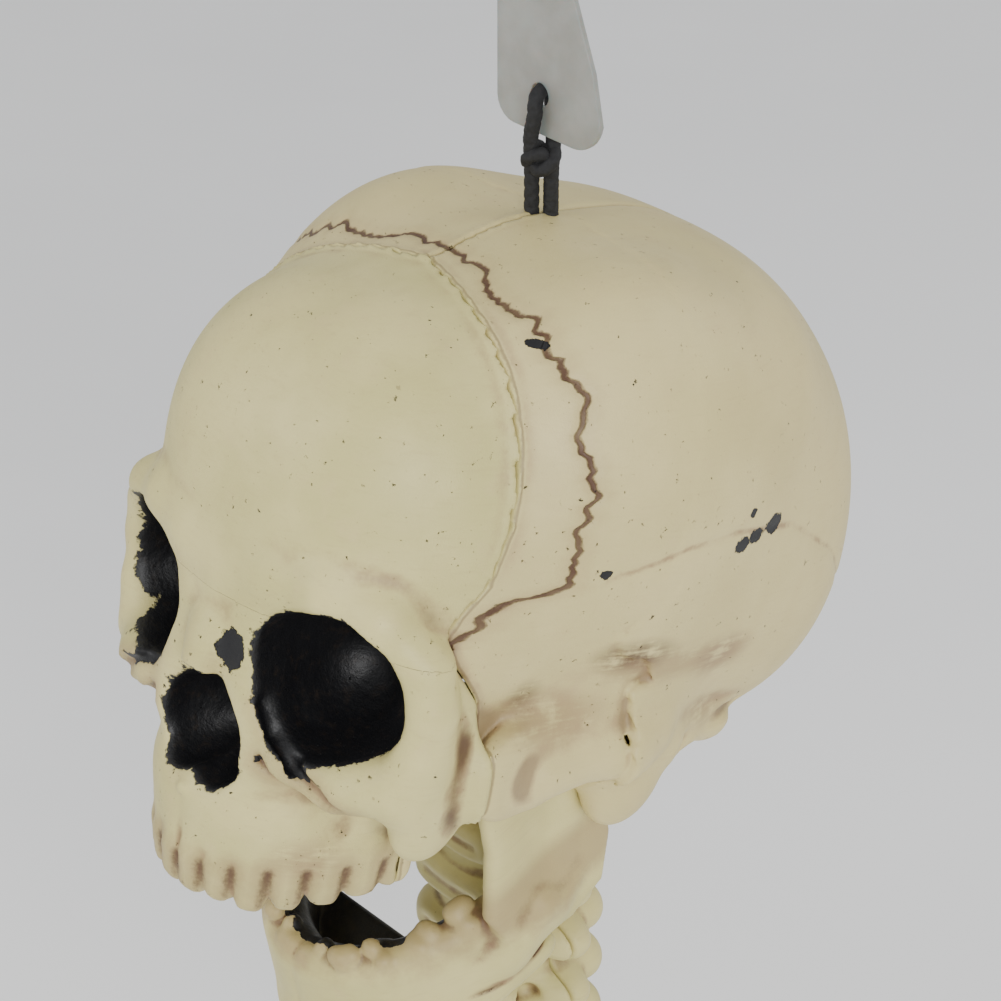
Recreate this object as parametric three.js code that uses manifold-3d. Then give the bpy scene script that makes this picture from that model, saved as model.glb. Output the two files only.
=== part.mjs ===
// Head and neck of a life-size posable plastic skeleton, hung by a cord loop and a plastic tab.
// Millimetres. +Z up, the face looks along -Y, +X is the skeleton's left.
// The origin is the middle of the tab's top hole, which hangs on a hook or nail.
// "Skull frame" below means: origin midway between the ears, same axes, before the head is tipped back.
import * as THREE from "three";
import { mergeVertices } from "three/addons/utils/BufferGeometryUtils.js";
import Module from "manifold-3d";

const wasm = await Module();
wasm.setup();
const { degToRad, lerp } = THREE.MathUtils;

// ---- driving dimensions -------------------------------------------------------------------------
const PART_GAP = 0.3; // between pieces that touch
const WALL = 3; // moulded shell thickness

const EAR_HEIGHT = 150; // ear axis above the neck's base
const EAR_FORWARD = 10; // ear axis in front of the neck's axis
const HEAD_TILT = 12.4; // degrees that the face is tipped up at rest

// The braincase is an ellipsoid squared off by a power above 2.
const VAULT = {
  y: 4, z: 55, halfWidth: 70, front: 97, back: 98,
  top: 65.5, base: 76, power: 2.3, browNarrowing: 0.12,
};
const SEAM_Y = -39; // face shell in front, cranium shells behind
const SOCKET = { x: 32, y: -93, z: 16, halfWidth: 20.5, depth: 31, halfHeight: 18.5, splay: 17 };
const NOSE = { y: -100, top: 6, base: -24, halfWidth: 13, depth: 17 };

const FACE_HOLLOW_SHARE = 0.93; // of the face block's size, which leaves walls of 3 to 4

const PALATE_Z = -37;
const UPPER_ARCH = { y: -50, halfWidth: 30, length: 45, depth: 9 };
const UPPER_BITE_Z = -54;
const LOWER_BITE_Z = -55.2; // with the jaw closed
const TEETH = 12;
const TOOTH_GAP = 0.9;

const JAW_PIVOT = { y: -12, z: -6 };
const JAW_OPEN = 30; // degrees open at rest
const RAMUS = { inner: 41, thickness: 5 };
const JAW = {
  halfWidth: 46, length: 67, thickness: 11,
  chinZ: -92, gonionZ: -62, alveolusFrontZ: -58, alveolusRearZ: -48,
};
const JAW_FLOOR = { z: -74, thickness: 4, rear: -43 }; // the web under the tongue, from the jaw's pivot
const JAW_EAR_RADIUS = 8;
const JAW_SCREW_RADIUS = 2.5;
const JAW_SCREW_HEAD = { radius: 4.5, height: 3.5 };
const WASHER_THICKNESS = 1.2;
const SLOT_CLEARANCE = 1.5; // inside the screw head, in the skull's underside

const NOD_BELOW_EARS = 8; // nod pin, on the neck's axis
const NOD_HEIGHT = EAR_HEIGHT - NOD_BELOW_EARS; // above the neck's base
const NECK_BELOW_NOD = 26;
const NECK_TOP = NOD_HEIGHT - NECK_BELOW_NOD;
const NECK_LEVELS = 6;
const NECK_RADIUS = 24;
const NECK_WAIST = 19;
const NECK_BORE = 15; // inner radius of the hollow neck
const NECK_TOP_PLATE = 8;
const BASE_PLUG = { height: 6, spigotHeight: 12 };
const NECK_SCREW = { radius: 2, headRadius: 3.6, headHeight: 2.4, length: 34, bossRadius: 5 };
const NECK_SCREW_HEIGHTS = { lower: 34, upper: 78 };

const POST = { radius: 7, shoulderRadius: 13, shoulder: 2.7, flangeRadius: 12, flange: 4 };
const RUNNING_GAP = 0.3; // between a turning piece and its seat
const NOD_PIN = { radius: 2.5, length: 34 };
const NOD_EYE = { radius: 7, width: 16 };
const YOKE = {
  radius: 22, thickness: 3, drop: 13,
  lugInner: 9.5, lugThickness: 4, lugDepth: 12, lugRadius: 6,
};
const COLLAR = { radius: 27, top: 6, bottom: 18, lowerHole: 15, upperHole: 17 };

const CORD_RADIUS = 1.9;
const CORD_SPREAD = 2.5; // each strand from the loop's middle
const CORD_EXIT = { y: -4 }; // skull frame
const CORD_WASHER = { radius: 9, thickness: 2 };
const CORD_AZIMUTH = 45; // the two strands stand side by side along this heading
// The tab's plane faces forwards. Its outline is given from its lower hole: x across, z up.
const TAB = {
  thickness: 1.6, left: -16, right: 22, bottom: -10.5,
  shoulder: 11, corner: 6, eye: 9, height: 46,
};
const TAB_HOLE_RADIUS = 3.4;
const HANG_HOLE_RADIUS = 5.2;
const TAB_HOLE_ABOVE_EXIT = 34;
const KNOT = { below: 17.6, half: 5.2, height: 3.2 };
const STOP_KNOT = { half: 6, height: 4 };

// ---- solids ---------------------------------------------------------------------------------------
function solid(geometry) {
  const bare = new THREE.BufferGeometry().setAttribute("position", geometry.getAttribute("position"));
  if (geometry.index) bare.setIndex(geometry.index);
  const merged = mergeVertices(bare, 1e-3);
  const index = merged.index.array;
  const triangles = [];
  for (let i = 0; i < index.length; i += 3) {
    const [a, b, c] = [index[i], index[i + 1], index[i + 2]];
    if (a !== b && b !== c && c !== a) triangles.push(a, b, c);
  }
  return new wasm.Manifold(
    new wasm.Mesh({
      numProp: 3,
      vertProperties: new Float32Array(merged.attributes.position.array),
      triVerts: new Uint32Array(triangles),
    }),
  );
}

function mesh(name, body, material) {
  const { vertProperties, triVerts, numProp } = body.getMesh();
  const points = [];
  for (let i = 0; i < vertProperties.length; i += numProp) points.push(...vertProperties.slice(i, i + 3));
  const geometry = new THREE.BufferGeometry();
  geometry.setAttribute("position", new THREE.Float32BufferAttribute(points, 3));
  geometry.setIndex([...triVerts]);
  geometry.computeVertexNormals();
  const made = new THREE.Mesh(geometry, material);
  made.name = name;
  return made;
}

const join = (...bodies) => bodies.flat().reduce((all, one) => all.add(one));
const cut = (body, ...tools) => tools.flat().reduce((left, tool) => left.subtract(tool), body);

function box(width, depth, height, x = 0, y = 0, z = 0) {
  return solid(new THREE.BoxGeometry(width, depth, height).translate(x, y, z));
}

function rod(radius, length, axis, x = 0, y = 0, z = 0, sides = 18) {
  const made = new THREE.CylinderGeometry(radius, radius, length, sides);
  if (axis === "x") made.rotateZ(Math.PI / 2);
  if (axis === "z") made.rotateX(Math.PI / 2);
  return solid(made.translate(x, y, z));
}

function ellipsoid(rx, ry, rz, x, y, z, around = 16, along = 9) {
  return solid(new THREE.SphereGeometry(1, around, along).scale(rx, ry, rz).translate(x, y, z));
}

// A body of revolution about Z from [radius, height] pairs listed upwards.
function turned(profile, sides = 24) {
  const points = profile.map(([radius, height]) => new THREE.Vector2(radius, height));
  return solid(new THREE.LatheGeometry(points, sides).rotateX(Math.PI / 2));
}

function extruded(shape, height, curveSegments = 6) {
  return new THREE.ExtrudeGeometry(shape, { depth: height, bevelEnabled: false, curveSegments });
}

const bothSides = (make) => [1, -1].map((side) => make(side));

// ---- materials ------------------------------------------------------------------------------------
const plastic = (color, roughness) => new THREE.MeshStandardMaterial({ color, roughness, metalness: 0 });
const bone = plastic(0xc4ba9c, 0.55);
const darkBone = plastic(0xa89a7c, 0.6);
const nylon = plastic(0x2c2c2e, 0.5);
const cordBlack = plastic(0x131314, 0.9);
const frosted = plastic(0x9a9f96, 0.35);
const steel = new THREE.MeshStandardMaterial({ color: 0x9b9b98, roughness: 0.35, metalness: 0.9 });

// ---- skull shells, in the skull frame ---------------------------------------------------------------
function vault(inset, around, along) {
  const geometry = new THREE.SphereGeometry(1, around, along);
  const p = geometry.getAttribute("position");
  for (let i = 0; i < p.count; i++) {
    const unit = new THREE.Vector3().fromBufferAttribute(p, i);
    const squared = unit.toArray().reduce((sum, v) => sum + Math.abs(v) ** VAULT.power, 0);
    unit.multiplyScalar(squared ** (-1 / VAULT.power));
    const narrowing = 1 - VAULT.browNarrowing * Math.max(0, -unit.y) ** 1.5;
    p.setXYZ(
      i,
      unit.x * (VAULT.halfWidth - inset) * narrowing,
      VAULT.y + unit.y * ((unit.y < 0 ? VAULT.front : VAULT.back) - inset),
      VAULT.z + unit.z * ((unit.z > 0 ? VAULT.top : VAULT.base) - inset),
    );
  }
  return solid(geometry);
}

// Half of the face seen from the front, as [x, z], from the forehead down to the roof of the mouth.
const FACE_FRONT = [[0, 56], [26, 54], [46, 42], [55, 26], [62, 10],
  [66, -4], [60, -20], [52, -27], [36, -30], [0, -30]];
// The face seen from the side, as [y, z], forwards along the top and back along the bottom.
const FACE_SIDE = [[0, 14], [-40, 40], [-70, 60], [-93, 54], [-98, 44], [-98, 36], [-90, 26], [-101, 9],
  [-94, -2], [-95, -24], [-88, -40], [-58, -34], [-40, -22], [4, -14]];
// Half of the face seen from above, as [x, y], back along the cheek and its arch.
const FACE_TOP = [[0, -102], [16, -100], [36, -90], [50, -76], [60, -56],
  [66, -34], [64, -8], [60, 4], [0, 4]];

const mirrored = (half) => [...half, ...half.slice(1, -1).reverse().map(([x, v]) => [-x, v])];
const polygon = (points) => new THREE.Shape(points.map(([a, b]) => new THREE.Vector2(a, b)));

// The face is what its three outlines share.
function faceBlock() {
  const front = extruded(polygon(mirrored(FACE_FRONT)), 140).rotateX(Math.PI / 2).translate(0, 20, 0);
  const top = extruded(polygon(mirrored(FACE_TOP)), 140).translate(0, 0, -60);
  return solid(front).intersect(solid(sideways(polygon(FACE_SIDE), 140))).intersect(solid(top));
}

// The upper jaw under the cheeks, solid across the roof of the mouth and open above it.
function maxilla(inset) {
  const { halfWidth, length, y } = UPPER_ARCH;
  const outline = new THREE.Shape();
  outline.absellipse(0, y, halfWidth + 2 - inset, length + 1 - inset, Math.PI, 2 * Math.PI);
  outline.lineTo(halfWidth + 2 - inset, y + 12 - inset);
  outline.lineTo(-halfWidth - 2 + inset, y + 12 - inset);
  const floor = inset ? PALATE_Z + WALL : PALATE_Z;
  return solid(extruded(outline, -8 - floor, 6).translate(0, 0, floor));
}

// The hollow behind the face is the same block, shrunk towards its middle.
function faceHollow() {
  const middle = [0, -45, 10];
  const back = middle.map((v) => -v);
  const shrunk = faceBlock().translate(back).scale(FACE_HOLLOW_SHARE).translate(middle);
  return [shrunk, maxilla(WALL + UPPER_ARCH.depth / 2)];
}

const mastoids = () => bothSides((side) => ellipsoid(8, 13, 17, side * 54, 9, -18, 10, 8));

function sockets(grow) {
  return bothSides((side) => {
    const cup = new THREE.SphereGeometry(1, 12, 8);
    cup.scale(SOCKET.halfWidth + grow, SOCKET.depth + grow, SOCKET.halfHeight + grow);
    cup.rotateZ(side * degToRad(SOCKET.splay)).translate(side * SOCKET.x, SOCKET.y, SOCKET.z);
    return solid(cup);
  });
}

// The nose opening is pear-shaped seen from the front.
function nose(grow) {
  const height = NOSE.top - NOSE.base;
  const outline = new THREE.Shape();
  outline.moveTo(0, height + grow);
  outline.quadraticCurveTo(5 + grow, height + grow, 6 + grow, height * 0.7);
  outline.quadraticCurveTo(NOSE.halfWidth + grow, height * 0.3, NOSE.halfWidth + grow - 3, 2 - grow);
  outline.quadraticCurveTo(5, -grow, 0, 3 - grow);
  outline.quadraticCurveTo(-5, -grow, -NOSE.halfWidth - grow + 3, 2 - grow);
  outline.quadraticCurveTo(-NOSE.halfWidth - grow, height * 0.3, -6 - grow, height * 0.7);
  outline.quadraticCurveTo(-5 - grow, height + grow, 0, height + grow);
  const hole = extruded(outline, 2 * (NOSE.depth + grow), 3).rotateX(Math.PI / 2);
  return solid(hole.translate(0, NOSE.y + NOSE.depth + grow, NOSE.base));
}

const archPoint = (arch, turn) =>
  new THREE.Vector2(arch.halfWidth * Math.sin(turn), arch.y - arch.length * Math.cos(turn));

// A row of teeth standing round an arch, joined by the gum ridge behind them.
function toothRow(arch, gumZ, biteZ) {
  const spread = 0.86 * Math.PI;
  const height = Math.abs(biteZ - gumZ) + 4;
  const middle = (biteZ + gumZ) / 2 + Math.sign(gumZ - biteZ) * 2;
  const teeth = [];
  for (let i = 0; i < TEETH; i++) {
    const turn = ((i + 0.5) / TEETH - 0.5) * spread;
    const [a, b] = [turn - spread / TEETH / 2, turn + spread / TEETH / 2].map((t) => archPoint(arch, t));
    const at = archPoint(arch, turn);
    const tooth = new THREE.BoxGeometry(a.distanceTo(b) - TOOTH_GAP, arch.depth, height);
    tooth.rotateZ(Math.atan2(b.y - a.y, b.x - a.x)).translate(at.x, at.y + arch.depth / 4, middle);
    teeth.push(solid(tooth));
  }
  return teeth;
}

// The ridge that carries the teeth, with a plate of the given thickness across its top, or none.
function archRidge(arch, lowZ, highZ, roof) {
  const outer = new THREE.Shape();
  outer.absellipse(0, arch.y, arch.halfWidth + 1, arch.length + 1, Math.PI, 2 * Math.PI);
  outer.lineTo(arch.halfWidth + 1, arch.y + 10);
  outer.lineTo(-arch.halfWidth - 1, arch.y + 10);
  const inner = new THREE.Shape();
  inner.absellipse(0, arch.y, arch.halfWidth - arch.depth, arch.length - arch.depth, Math.PI, 2 * Math.PI);
  inner.lineTo(arch.halfWidth - arch.depth, arch.y + 12);
  inner.lineTo(-arch.halfWidth + arch.depth, arch.y + 12);
  const ridge = solid(extruded(outer, highZ - lowZ, 8).translate(0, 0, lowZ));
  const hollowTop = roof > 0 ? highZ - roof : highZ + 1;
  return cut(ridge, solid(extruded(inner, hollowTop - lowZ + 1, 8).translate(0, 0, lowZ - 1)));
}

// The nod pin sits on the neck's axis; this is the same point in the skull frame.
const nodPin = new THREE.Vector3(0, EAR_FORWARD, NOD_HEIGHT - EAR_HEIGHT).applyAxisAngle(
  new THREE.Vector3(1, 0, 0),
  degToRad(HEAD_TILT),
);
const onNeckAxis = (body) => body.rotate([HEAD_TILT, 0, 0]).translate([0, nodPin.y, nodPin.z]);

// Everything round the nod pin is drawn upright about it, then tipped with the head.
function baseCollar() {
  const height = COLLAR.bottom - COLLAR.top;
  return onNeckAxis(rod(COLLAR.radius, height, "z", 0, 0, -(COLLAR.top + COLLAR.bottom) / 2, 24));
}

function collarBore() {
  const pocketZ = -YOKE.drop + YOKE.thickness / 2;
  return [
    onNeckAxis(rod(COLLAR.lowerHole, 30, "z", 0, 0, -YOKE.drop - 15, 20)),
    onNeckAxis(rod(COLLAR.upperHole, 20, "z", 0, 0, -YOKE.drop + 10, 20)),
    onNeckAxis(rod(YOKE.radius + PART_GAP, YOKE.thickness + 2 * PART_GAP, "z", 0, 0, pocketZ, 24)),
  ];
}

const bossStart = RAMUS.inner + RAMUS.thickness + WASHER_THICKNESS + 2 * PART_GAP;
const bossEnd = 62;
const screwHeadStart = RAMUS.inner - PART_GAP - JAW_SCREW_HEAD.height;

function jawBosses() {
  return bothSides((side) =>
    rod(7, bossEnd - bossStart, "x", (side * (bossStart + bossEnd)) / 2, JAW_PIVOT.y, JAW_PIVOT.z),
  );
}

function jawScrewHoles() {
  const radius = JAW_SCREW_RADIUS + PART_GAP;
  return bothSides((side) => rod(radius, 28, "x", side * (bossStart - 6), JAW_PIVOT.y, JAW_PIVOT.z, 12));
}

// The slots in the underside through which the jaw's branches reach their pivots.
function ramusSlots() {
  const inner = screwHeadStart - SLOT_CLEARANCE;
  const width = bossStart - inner;
  const profile = new THREE.Shape();
  profile.absarc(0, 0, JAW_EAR_RADIUS + 3, 0, Math.PI, false);
  profile.lineTo(-34, 8);
  profile.lineTo(-46, -14);
  profile.lineTo(-46, -60);
  profile.lineTo(27, -60);
  profile.lineTo(18, -10);
  return bothSides((side) => {
    const middle = (side * (inner + bossStart)) / 2;
    return solid(sideways(profile, width).translate(middle, JAW_PIVOT.y, JAW_PIVOT.z));
  });
}

// Extrudes a (y, z) outline across X, centred on x = 0.
function sideways(profile, width) {
  const made = extruded(profile, width, 5).translate(0, 0, -width / 2);
  return made.applyMatrix4(
    new THREE.Matrix4().makeBasis(
      new THREE.Vector3(0, 1, 0),
      new THREE.Vector3(0, 0, 1),
      new THREE.Vector3(1, 0, 0),
    ),
  );
}

const vaultTopAt = (y, inset) => {
  const along = (y - VAULT.y) / ((y < VAULT.y ? VAULT.front : VAULT.back) - inset);
  return VAULT.z + (VAULT.top - inset) * (1 - Math.abs(along) ** VAULT.power) ** (1 / VAULT.power);
};

const strandHeading = new THREE.Vector2(Math.cos(degToRad(CORD_AZIMUTH)), Math.sin(degToRad(CORD_AZIMUTH)));
const cordExit = new THREE.Vector3(0, CORD_EXIT.y, vaultTopAt(CORD_EXIT.y, 0));
const upAtExit = (body) => body.rotate([HEAD_TILT, 0, 0]).translate(cordExit.toArray());

function cordHole() {
  const strand = strandHeading.clone().multiplyScalar(CORD_SPREAD);
  const slotLength = 2 * (CORD_SPREAD + CORD_RADIUS + PART_GAP);
  const width = 2 * (CORD_RADIUS + PART_GAP);
  const slot = new THREE.BoxGeometry(slotLength - width, width, 40);
  slot.rotateZ(Math.atan2(strand.y, strand.x));
  const ends = [1, -1].map((s) => rod(width / 2, 40, "z", s * strand.x, s * strand.y, 0, 16));
  return upAtExit(join(solid(slot), ends));
}



function skullShells() {
  const outer = join(vault(0, 24, 14), faceBlock(), maxilla(0), mastoids());
  const hollow = cut(join(vault(WALL, 16, 10), faceHollow()), sockets(WALL), nose(WALL));
  const teeth = join(
    archRidge(UPPER_ARCH, PALATE_Z - 6, PALATE_Z + 6, WALL),
    toothRow(UPPER_ARCH, PALATE_Z, UPPER_BITE_Z),
  );
  const shell = join(cut(outer, hollow, sockets(0), nose(0)), cut(teeth, hollow), baseCollar(), jawBosses());
  const whole = cut(shell, collarBore(), ramusSlots(), jawScrewHoles(), cordHole());
  const front = box(300, 300, 400, 0, SEAM_Y - 150 - PART_GAP / 2, 0);
  const rear = (side) => box(300, 300, 400, side * (150 + PART_GAP / 2), SEAM_Y + 150 + PART_GAP / 2, 0);
  return {
    face: largest(whole.intersect(front)),
    left: largest(whole.intersect(rear(1))),
    right: largest(whole.intersect(rear(-1))),
  };
}

// The main piece of a cut body, without the slivers that a seam plane can leave.
const largest = (body) => body.decompose().reduce((a, b) => (a.volume() > b.volume() ? a : b));

// ---- jaw, drawn closed about its pivot ---------------------------------------------------------------
const toJaw = (z) => z - JAW_PIVOT.z;

function jawBody() {
  const { halfWidth, length, thickness } = JAW;
  const outline = new THREE.Shape();
  outline.absellipse(0, 0, halfWidth, length, Math.PI, 2 * Math.PI);
  outline.lineTo(halfWidth - thickness * 0.7, 0);
  outline.absellipse(0, 0, halfWidth - thickness * 0.7, length - thickness, 2 * Math.PI, Math.PI, true);
  const geometry = extruded(outline, 1, 9);
  const p = geometry.getAttribute("position");
  for (let i = 0; i < p.count; i++) {
    const rearward = 1 + p.getY(i) / length;
    const low = lerp(toJaw(JAW.chinZ), toJaw(JAW.gonionZ), rearward ** 1.4);
    const high = lerp(toJaw(JAW.alveolusFrontZ), toJaw(JAW.alveolusRearZ), rearward);
    p.setZ(i, lerp(low, high, p.getZ(i)));
  }
  return solid(geometry.translate(0, -10, 0));
}

function jawFloor() {
  const outline = new THREE.Shape();
  const inset = JAW.thickness / 2;
  outline.absellipse(0, 0, JAW.halfWidth - inset, JAW.length - inset, Math.PI, 2 * Math.PI);
  const whole = solid(extruded(outline, JAW_FLOOR.thickness, 9).translate(0, -10, JAW_FLOOR.z));
  const front = box(200, 200, 40, 0, JAW_FLOOR.rear - 100, JAW_FLOOR.z);
  return whole.intersect(front);
}

function ramus(side) {
  const profile = new THREE.Shape();
  profile.absarc(0, 0, JAW_EAR_RADIUS, 0, Math.PI * 0.75, false);
  profile.quadraticCurveTo(-14, -16, -22, -8);
  profile.quadraticCurveTo(-27, 2, -30, -4);
  profile.quadraticCurveTo(-30, -24, -38, -42);
  profile.lineTo(-34, -58);
  profile.quadraticCurveTo(-14, -66, 0, -60);
  profile.quadraticCurveTo(8, -50, 9, -30);
  const plate = sideways(profile, RAMUS.thickness);
  return solid(plate.translate(side * (RAMUS.inner + RAMUS.thickness / 2), 0, 0));
}

function jaw() {
  const arch = { ...UPPER_ARCH, y: UPPER_ARCH.y - JAW_PIVOT.y, halfWidth: 28.5, length: 40 };
  const gum = toJaw(JAW.alveolusFrontZ);
  const ridge = archRidge({ ...arch, depth: 10 }, gum - 8, gum + 1, 0);
  const teeth = toothRow(arch, gum, toJaw(LOWER_BITE_Z));
  const whole = join(jawBody(), jawFloor(), bothSides(ramus), ridge, teeth);
  return largest(cut(whole, rod(JAW_SCREW_RADIUS + PART_GAP, 200, "x", 0, 0, 0, 12)));
}

function jawScrew(side) {
  const { radius, height } = JAW_SCREW_HEAD;
  const tip = bossStart + 7;
  const middle = (side * (screwHeadStart + tip)) / 2;
  const shank = rod(JAW_SCREW_RADIUS, tip - screwHeadStart, "x", middle, 0, 0, 12);
  const cap = rod(radius, height, "x", side * (screwHeadStart + height / 2), 0, 0, 16);
  return join(shank, cap);
}

function jawWasher(side) {
  const middle = side * (RAMUS.inner + RAMUS.thickness + PART_GAP + WASHER_THICKNESS / 2);
  const disc = rod(6, WASHER_THICKNESS, "x", middle, 0, 0, 16);
  return cut(disc, rod(JAW_SCREW_RADIUS + PART_GAP, 20, "x", middle, 0, 0, 12));
}

// ---- neck and its swivel, in the row frame -------------------------------------------------------------
function neckProfile() {
  const start = BASE_PLUG.height + PART_GAP;
  const pitch = (NECK_TOP - start) / NECK_LEVELS;
  const profile = [[0, start]];
  for (let i = 0; i < NECK_LEVELS; i++) {
    const low = start + i * pitch;
    profile.push([NECK_WAIST, low], [NECK_RADIUS, low + 0.3 * pitch], [NECK_RADIUS, low + 0.65 * pitch]);
  }
  profile.push([NECK_WAIST, NECK_TOP], [0, NECK_TOP]);
  return { profile, pitch, start };
}

function neckWhole() {
  const { profile, pitch, start } = neckProfile();
  const body = turned(profile, 16);
  const processes = [];
  for (let i = 0; i < NECK_LEVELS; i++) {
    const z = start + (i + 0.46) * pitch;
    const reach = i === NECK_LEVELS - 1 ? 6 : 13;
    processes.push(ellipsoid(6, reach, 5, 0, NECK_RADIUS, z - 2, 6, 4));
    processes.push(...bothSides((side) => ellipsoid(8, 8, 5.5, side * (NECK_RADIUS - 2), 4, z, 6, 4)));
  }
  const bores = [
    rod(NECK_BORE, NECK_TOP - NECK_TOP_PLATE, "z", 0, 0, (NECK_TOP - NECK_TOP_PLATE) / 2, 16),
    rod(POST.radius + RUNNING_GAP, 60, "z", 0, 0, NECK_TOP, 20),
  ];
  const bossLength = 2 * NECK_BORE + 3;
  const boss = (z) => rod(NECK_SCREW.bossRadius, bossLength, "y", 0, 0, z, 8);
  const bosses = Object.values(NECK_SCREW_HEIGHTS).map(boss);
  return join(cut(join(body, processes), bores), bosses);
}

const screwHeadY = NECK_WAIST - 1; // the heads seat just inside the rear half's outer face

function neckScrew(z) {
  const shank = rod(NECK_SCREW.radius, NECK_SCREW.length, "y", 0, screwHeadY - NECK_SCREW.length / 2, z, 10);
  const headY = screwHeadY + NECK_SCREW.headHeight / 2 - 0.01;
  const head = rod(NECK_SCREW.headRadius, NECK_SCREW.headHeight, "y", 0, headY, z, 12);
  return join(shank, head);
}

function neckScrewHole(z) {
  const shankY = screwHeadY - NECK_SCREW.length / 2;
  const shank = rod(NECK_SCREW.radius + PART_GAP, NECK_SCREW.length + 1, "y", 0, shankY, z, 10);
  const well = rod(NECK_SCREW.headRadius + PART_GAP, 40, "y", 0, screwHeadY - PART_GAP + 20, z, 12);
  return join(shank, well);
}

function neckHalves() {
  const holes = Object.values(NECK_SCREW_HEIGHTS).map(neckScrewHole);
  const whole = cut(neckWhole(), holes);
  const half = (side) => box(200, 200, 400, 0, side * (100 + PART_GAP / 2), 0);
  return { front: largest(whole.intersect(half(-1))), rear: largest(whole.intersect(half(1))) };
}

function basePlug() {
  const fit = NECK_BORE - PART_GAP;
  const rim = NECK_RADIUS - 1;
  return turned([[0, 0], [rim - 1.5, 0], [rim, 1.5], [rim, BASE_PLUG.height], [fit, BASE_PLUG.height],
    [fit, BASE_PLUG.height + BASE_PLUG.spigotHeight - 2],
    [fit - 2, BASE_PLUG.height + BASE_PLUG.spigotHeight],
    [0, BASE_PLUG.height + BASE_PLUG.spigotHeight]], 24);
}

function swivelPost() {
  const plateBottom = NECK_TOP - NECK_TOP_PLATE;
  const shoulder = NECK_TOP + PART_GAP;
  const flangeTop = plateBottom - PART_GAP;
  const flangeBottom = flangeTop - POST.flange;
  const body = turned([[0, flangeBottom], [POST.flangeRadius, flangeBottom],
    [POST.flangeRadius, flangeTop], [POST.radius, flangeTop], [POST.radius, shoulder],
    [POST.shoulderRadius, shoulder], [POST.shoulderRadius, shoulder + POST.shoulder],
    [POST.radius, shoulder + POST.shoulder + 3], [POST.radius, NOD_HEIGHT], [0, NOD_HEIGHT]], 20);
  const eye = rod(NOD_EYE.radius, NOD_EYE.width, "x", 0, 0, NOD_HEIGHT, 20);
  return cut(join(body, eye), rod(NOD_PIN.radius + RUNNING_GAP, 60, "x", 0, 0, NOD_HEIGHT, 14));
}

// ---- nod yoke and pin, drawn about the nod pin ------------------------------------------------------------
function nodYoke() {
  const plate = rod(YOKE.radius, YOKE.thickness, "z", 0, 0, -YOKE.drop + YOKE.thickness / 2, 24);
  const lugs = bothSides((side) => {
    const x = side * (YOKE.lugInner + YOKE.lugThickness / 2);
    const web = box(YOKE.lugThickness, YOKE.lugDepth, YOKE.drop - 0.5, x, 0, -YOKE.drop / 2);
    return join(web, rod(YOKE.lugRadius, YOKE.lugThickness, "x", x, 0, 0, 16));
  });
  const clear = YOKE.lugInner * 2;
  const tools = [rod(NOD_PIN.radius + PART_GAP, 60, "x", 0, 0, 0, 14), box(clear, 24, 40, 0, 0, -YOKE.drop)];
  return onNeckAxis(cut(join(plate, lugs), tools));
}

const nodPinRod = () => onNeckAxis(rod(NOD_PIN.radius, NOD_PIN.length, "x", 0, 0, 0, 14));

// ---- cord, knots, washer and tab, upright over the place where the cord leaves the skull ----
const plateGap = TAB.thickness / 2 + CORD_RADIUS + 0.5;
const washerTop = -WALL - 4.5;
const cordStart = washerTop - CORD_WASHER.thickness - PART_GAP - STOP_KNOT.height;

// The cord's route: up one strand, through the tab's lower hole from front to back, and down the other.
// Heights are above the place where the cord leaves the skull.
function cordPath() {
  const strand = (side, z) => new THREE.Vector3(side * strandHeading.x, side * strandHeading.y, z);
  const at = (x, y, z) => new THREE.Vector3(x, y, z);
  const hole = TAB_HOLE_ABOVE_EXIT;
  const knot = hole - KNOT.below;
  return new THREE.CatmullRomCurve3(
    [
      strand(-CORD_SPREAD, cordStart),
      strand(-CORD_SPREAD, 0),
      strand(-CORD_SPREAD, knot - 6),
      at(-1.7, -1.9, knot - 2),
      at(-1.2, -2.6, knot + 3),
      at(-0.6, -plateGap, knot + 7),
      at(0.9, -plateGap - 0.1, hole - 4.5),
      at(0.9, 0.3 - plateGap, hole - 0.4),
      at(0.3, -0.9, hole + 1.2),
      at(0, 0.9, hole + 1.2),
      at(0, plateGap - 0.3, hole - 0.4),
      at(0.3, plateGap + 0.1, hole - 4.5),
      at(0.9, plateGap, knot + 7),
      at(1.5, 2.6, knot + 3),
      at(1.8, 1.9, knot - 2),
      strand(CORD_SPREAD, knot - 6),
      strand(CORD_SPREAD, 0),
      strand(CORD_SPREAD, cordStart),
    ],
    false,
    "centripetal",
  );
}

function cordTube(radius, steps) {
  const section = new THREE.Shape();
  for (let i = 0; i < 8; i++) {
    const a = (i / 8) * 2 * Math.PI;
    const point = [radius * Math.cos(a), radius * Math.sin(a)];
    if (i) section.lineTo(...point);
    else section.moveTo(...point);
  }
  return solid(new THREE.ExtrudeGeometry(section, { steps, bevelEnabled: false, extrudePath: cordPath() }));
}

function knotAt(height, half, halfHeight) {
  const lump = ellipsoid(half, half * 0.85, halfHeight, 0, 0, height, 12, 8);
  return largest(cut(lump.rotate([0, 0, CORD_AZIMUTH]), cordTube(CORD_RADIUS + PART_GAP, 64)));
}

function cordWasher() {
  const middle = washerTop - CORD_WASHER.thickness / 2;
  const disc = rod(CORD_WASHER.radius, CORD_WASHER.thickness, "z", 0, 0, middle, 18);
  return cut(disc, cordTube(CORD_RADIUS + PART_GAP, 64));
}

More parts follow.
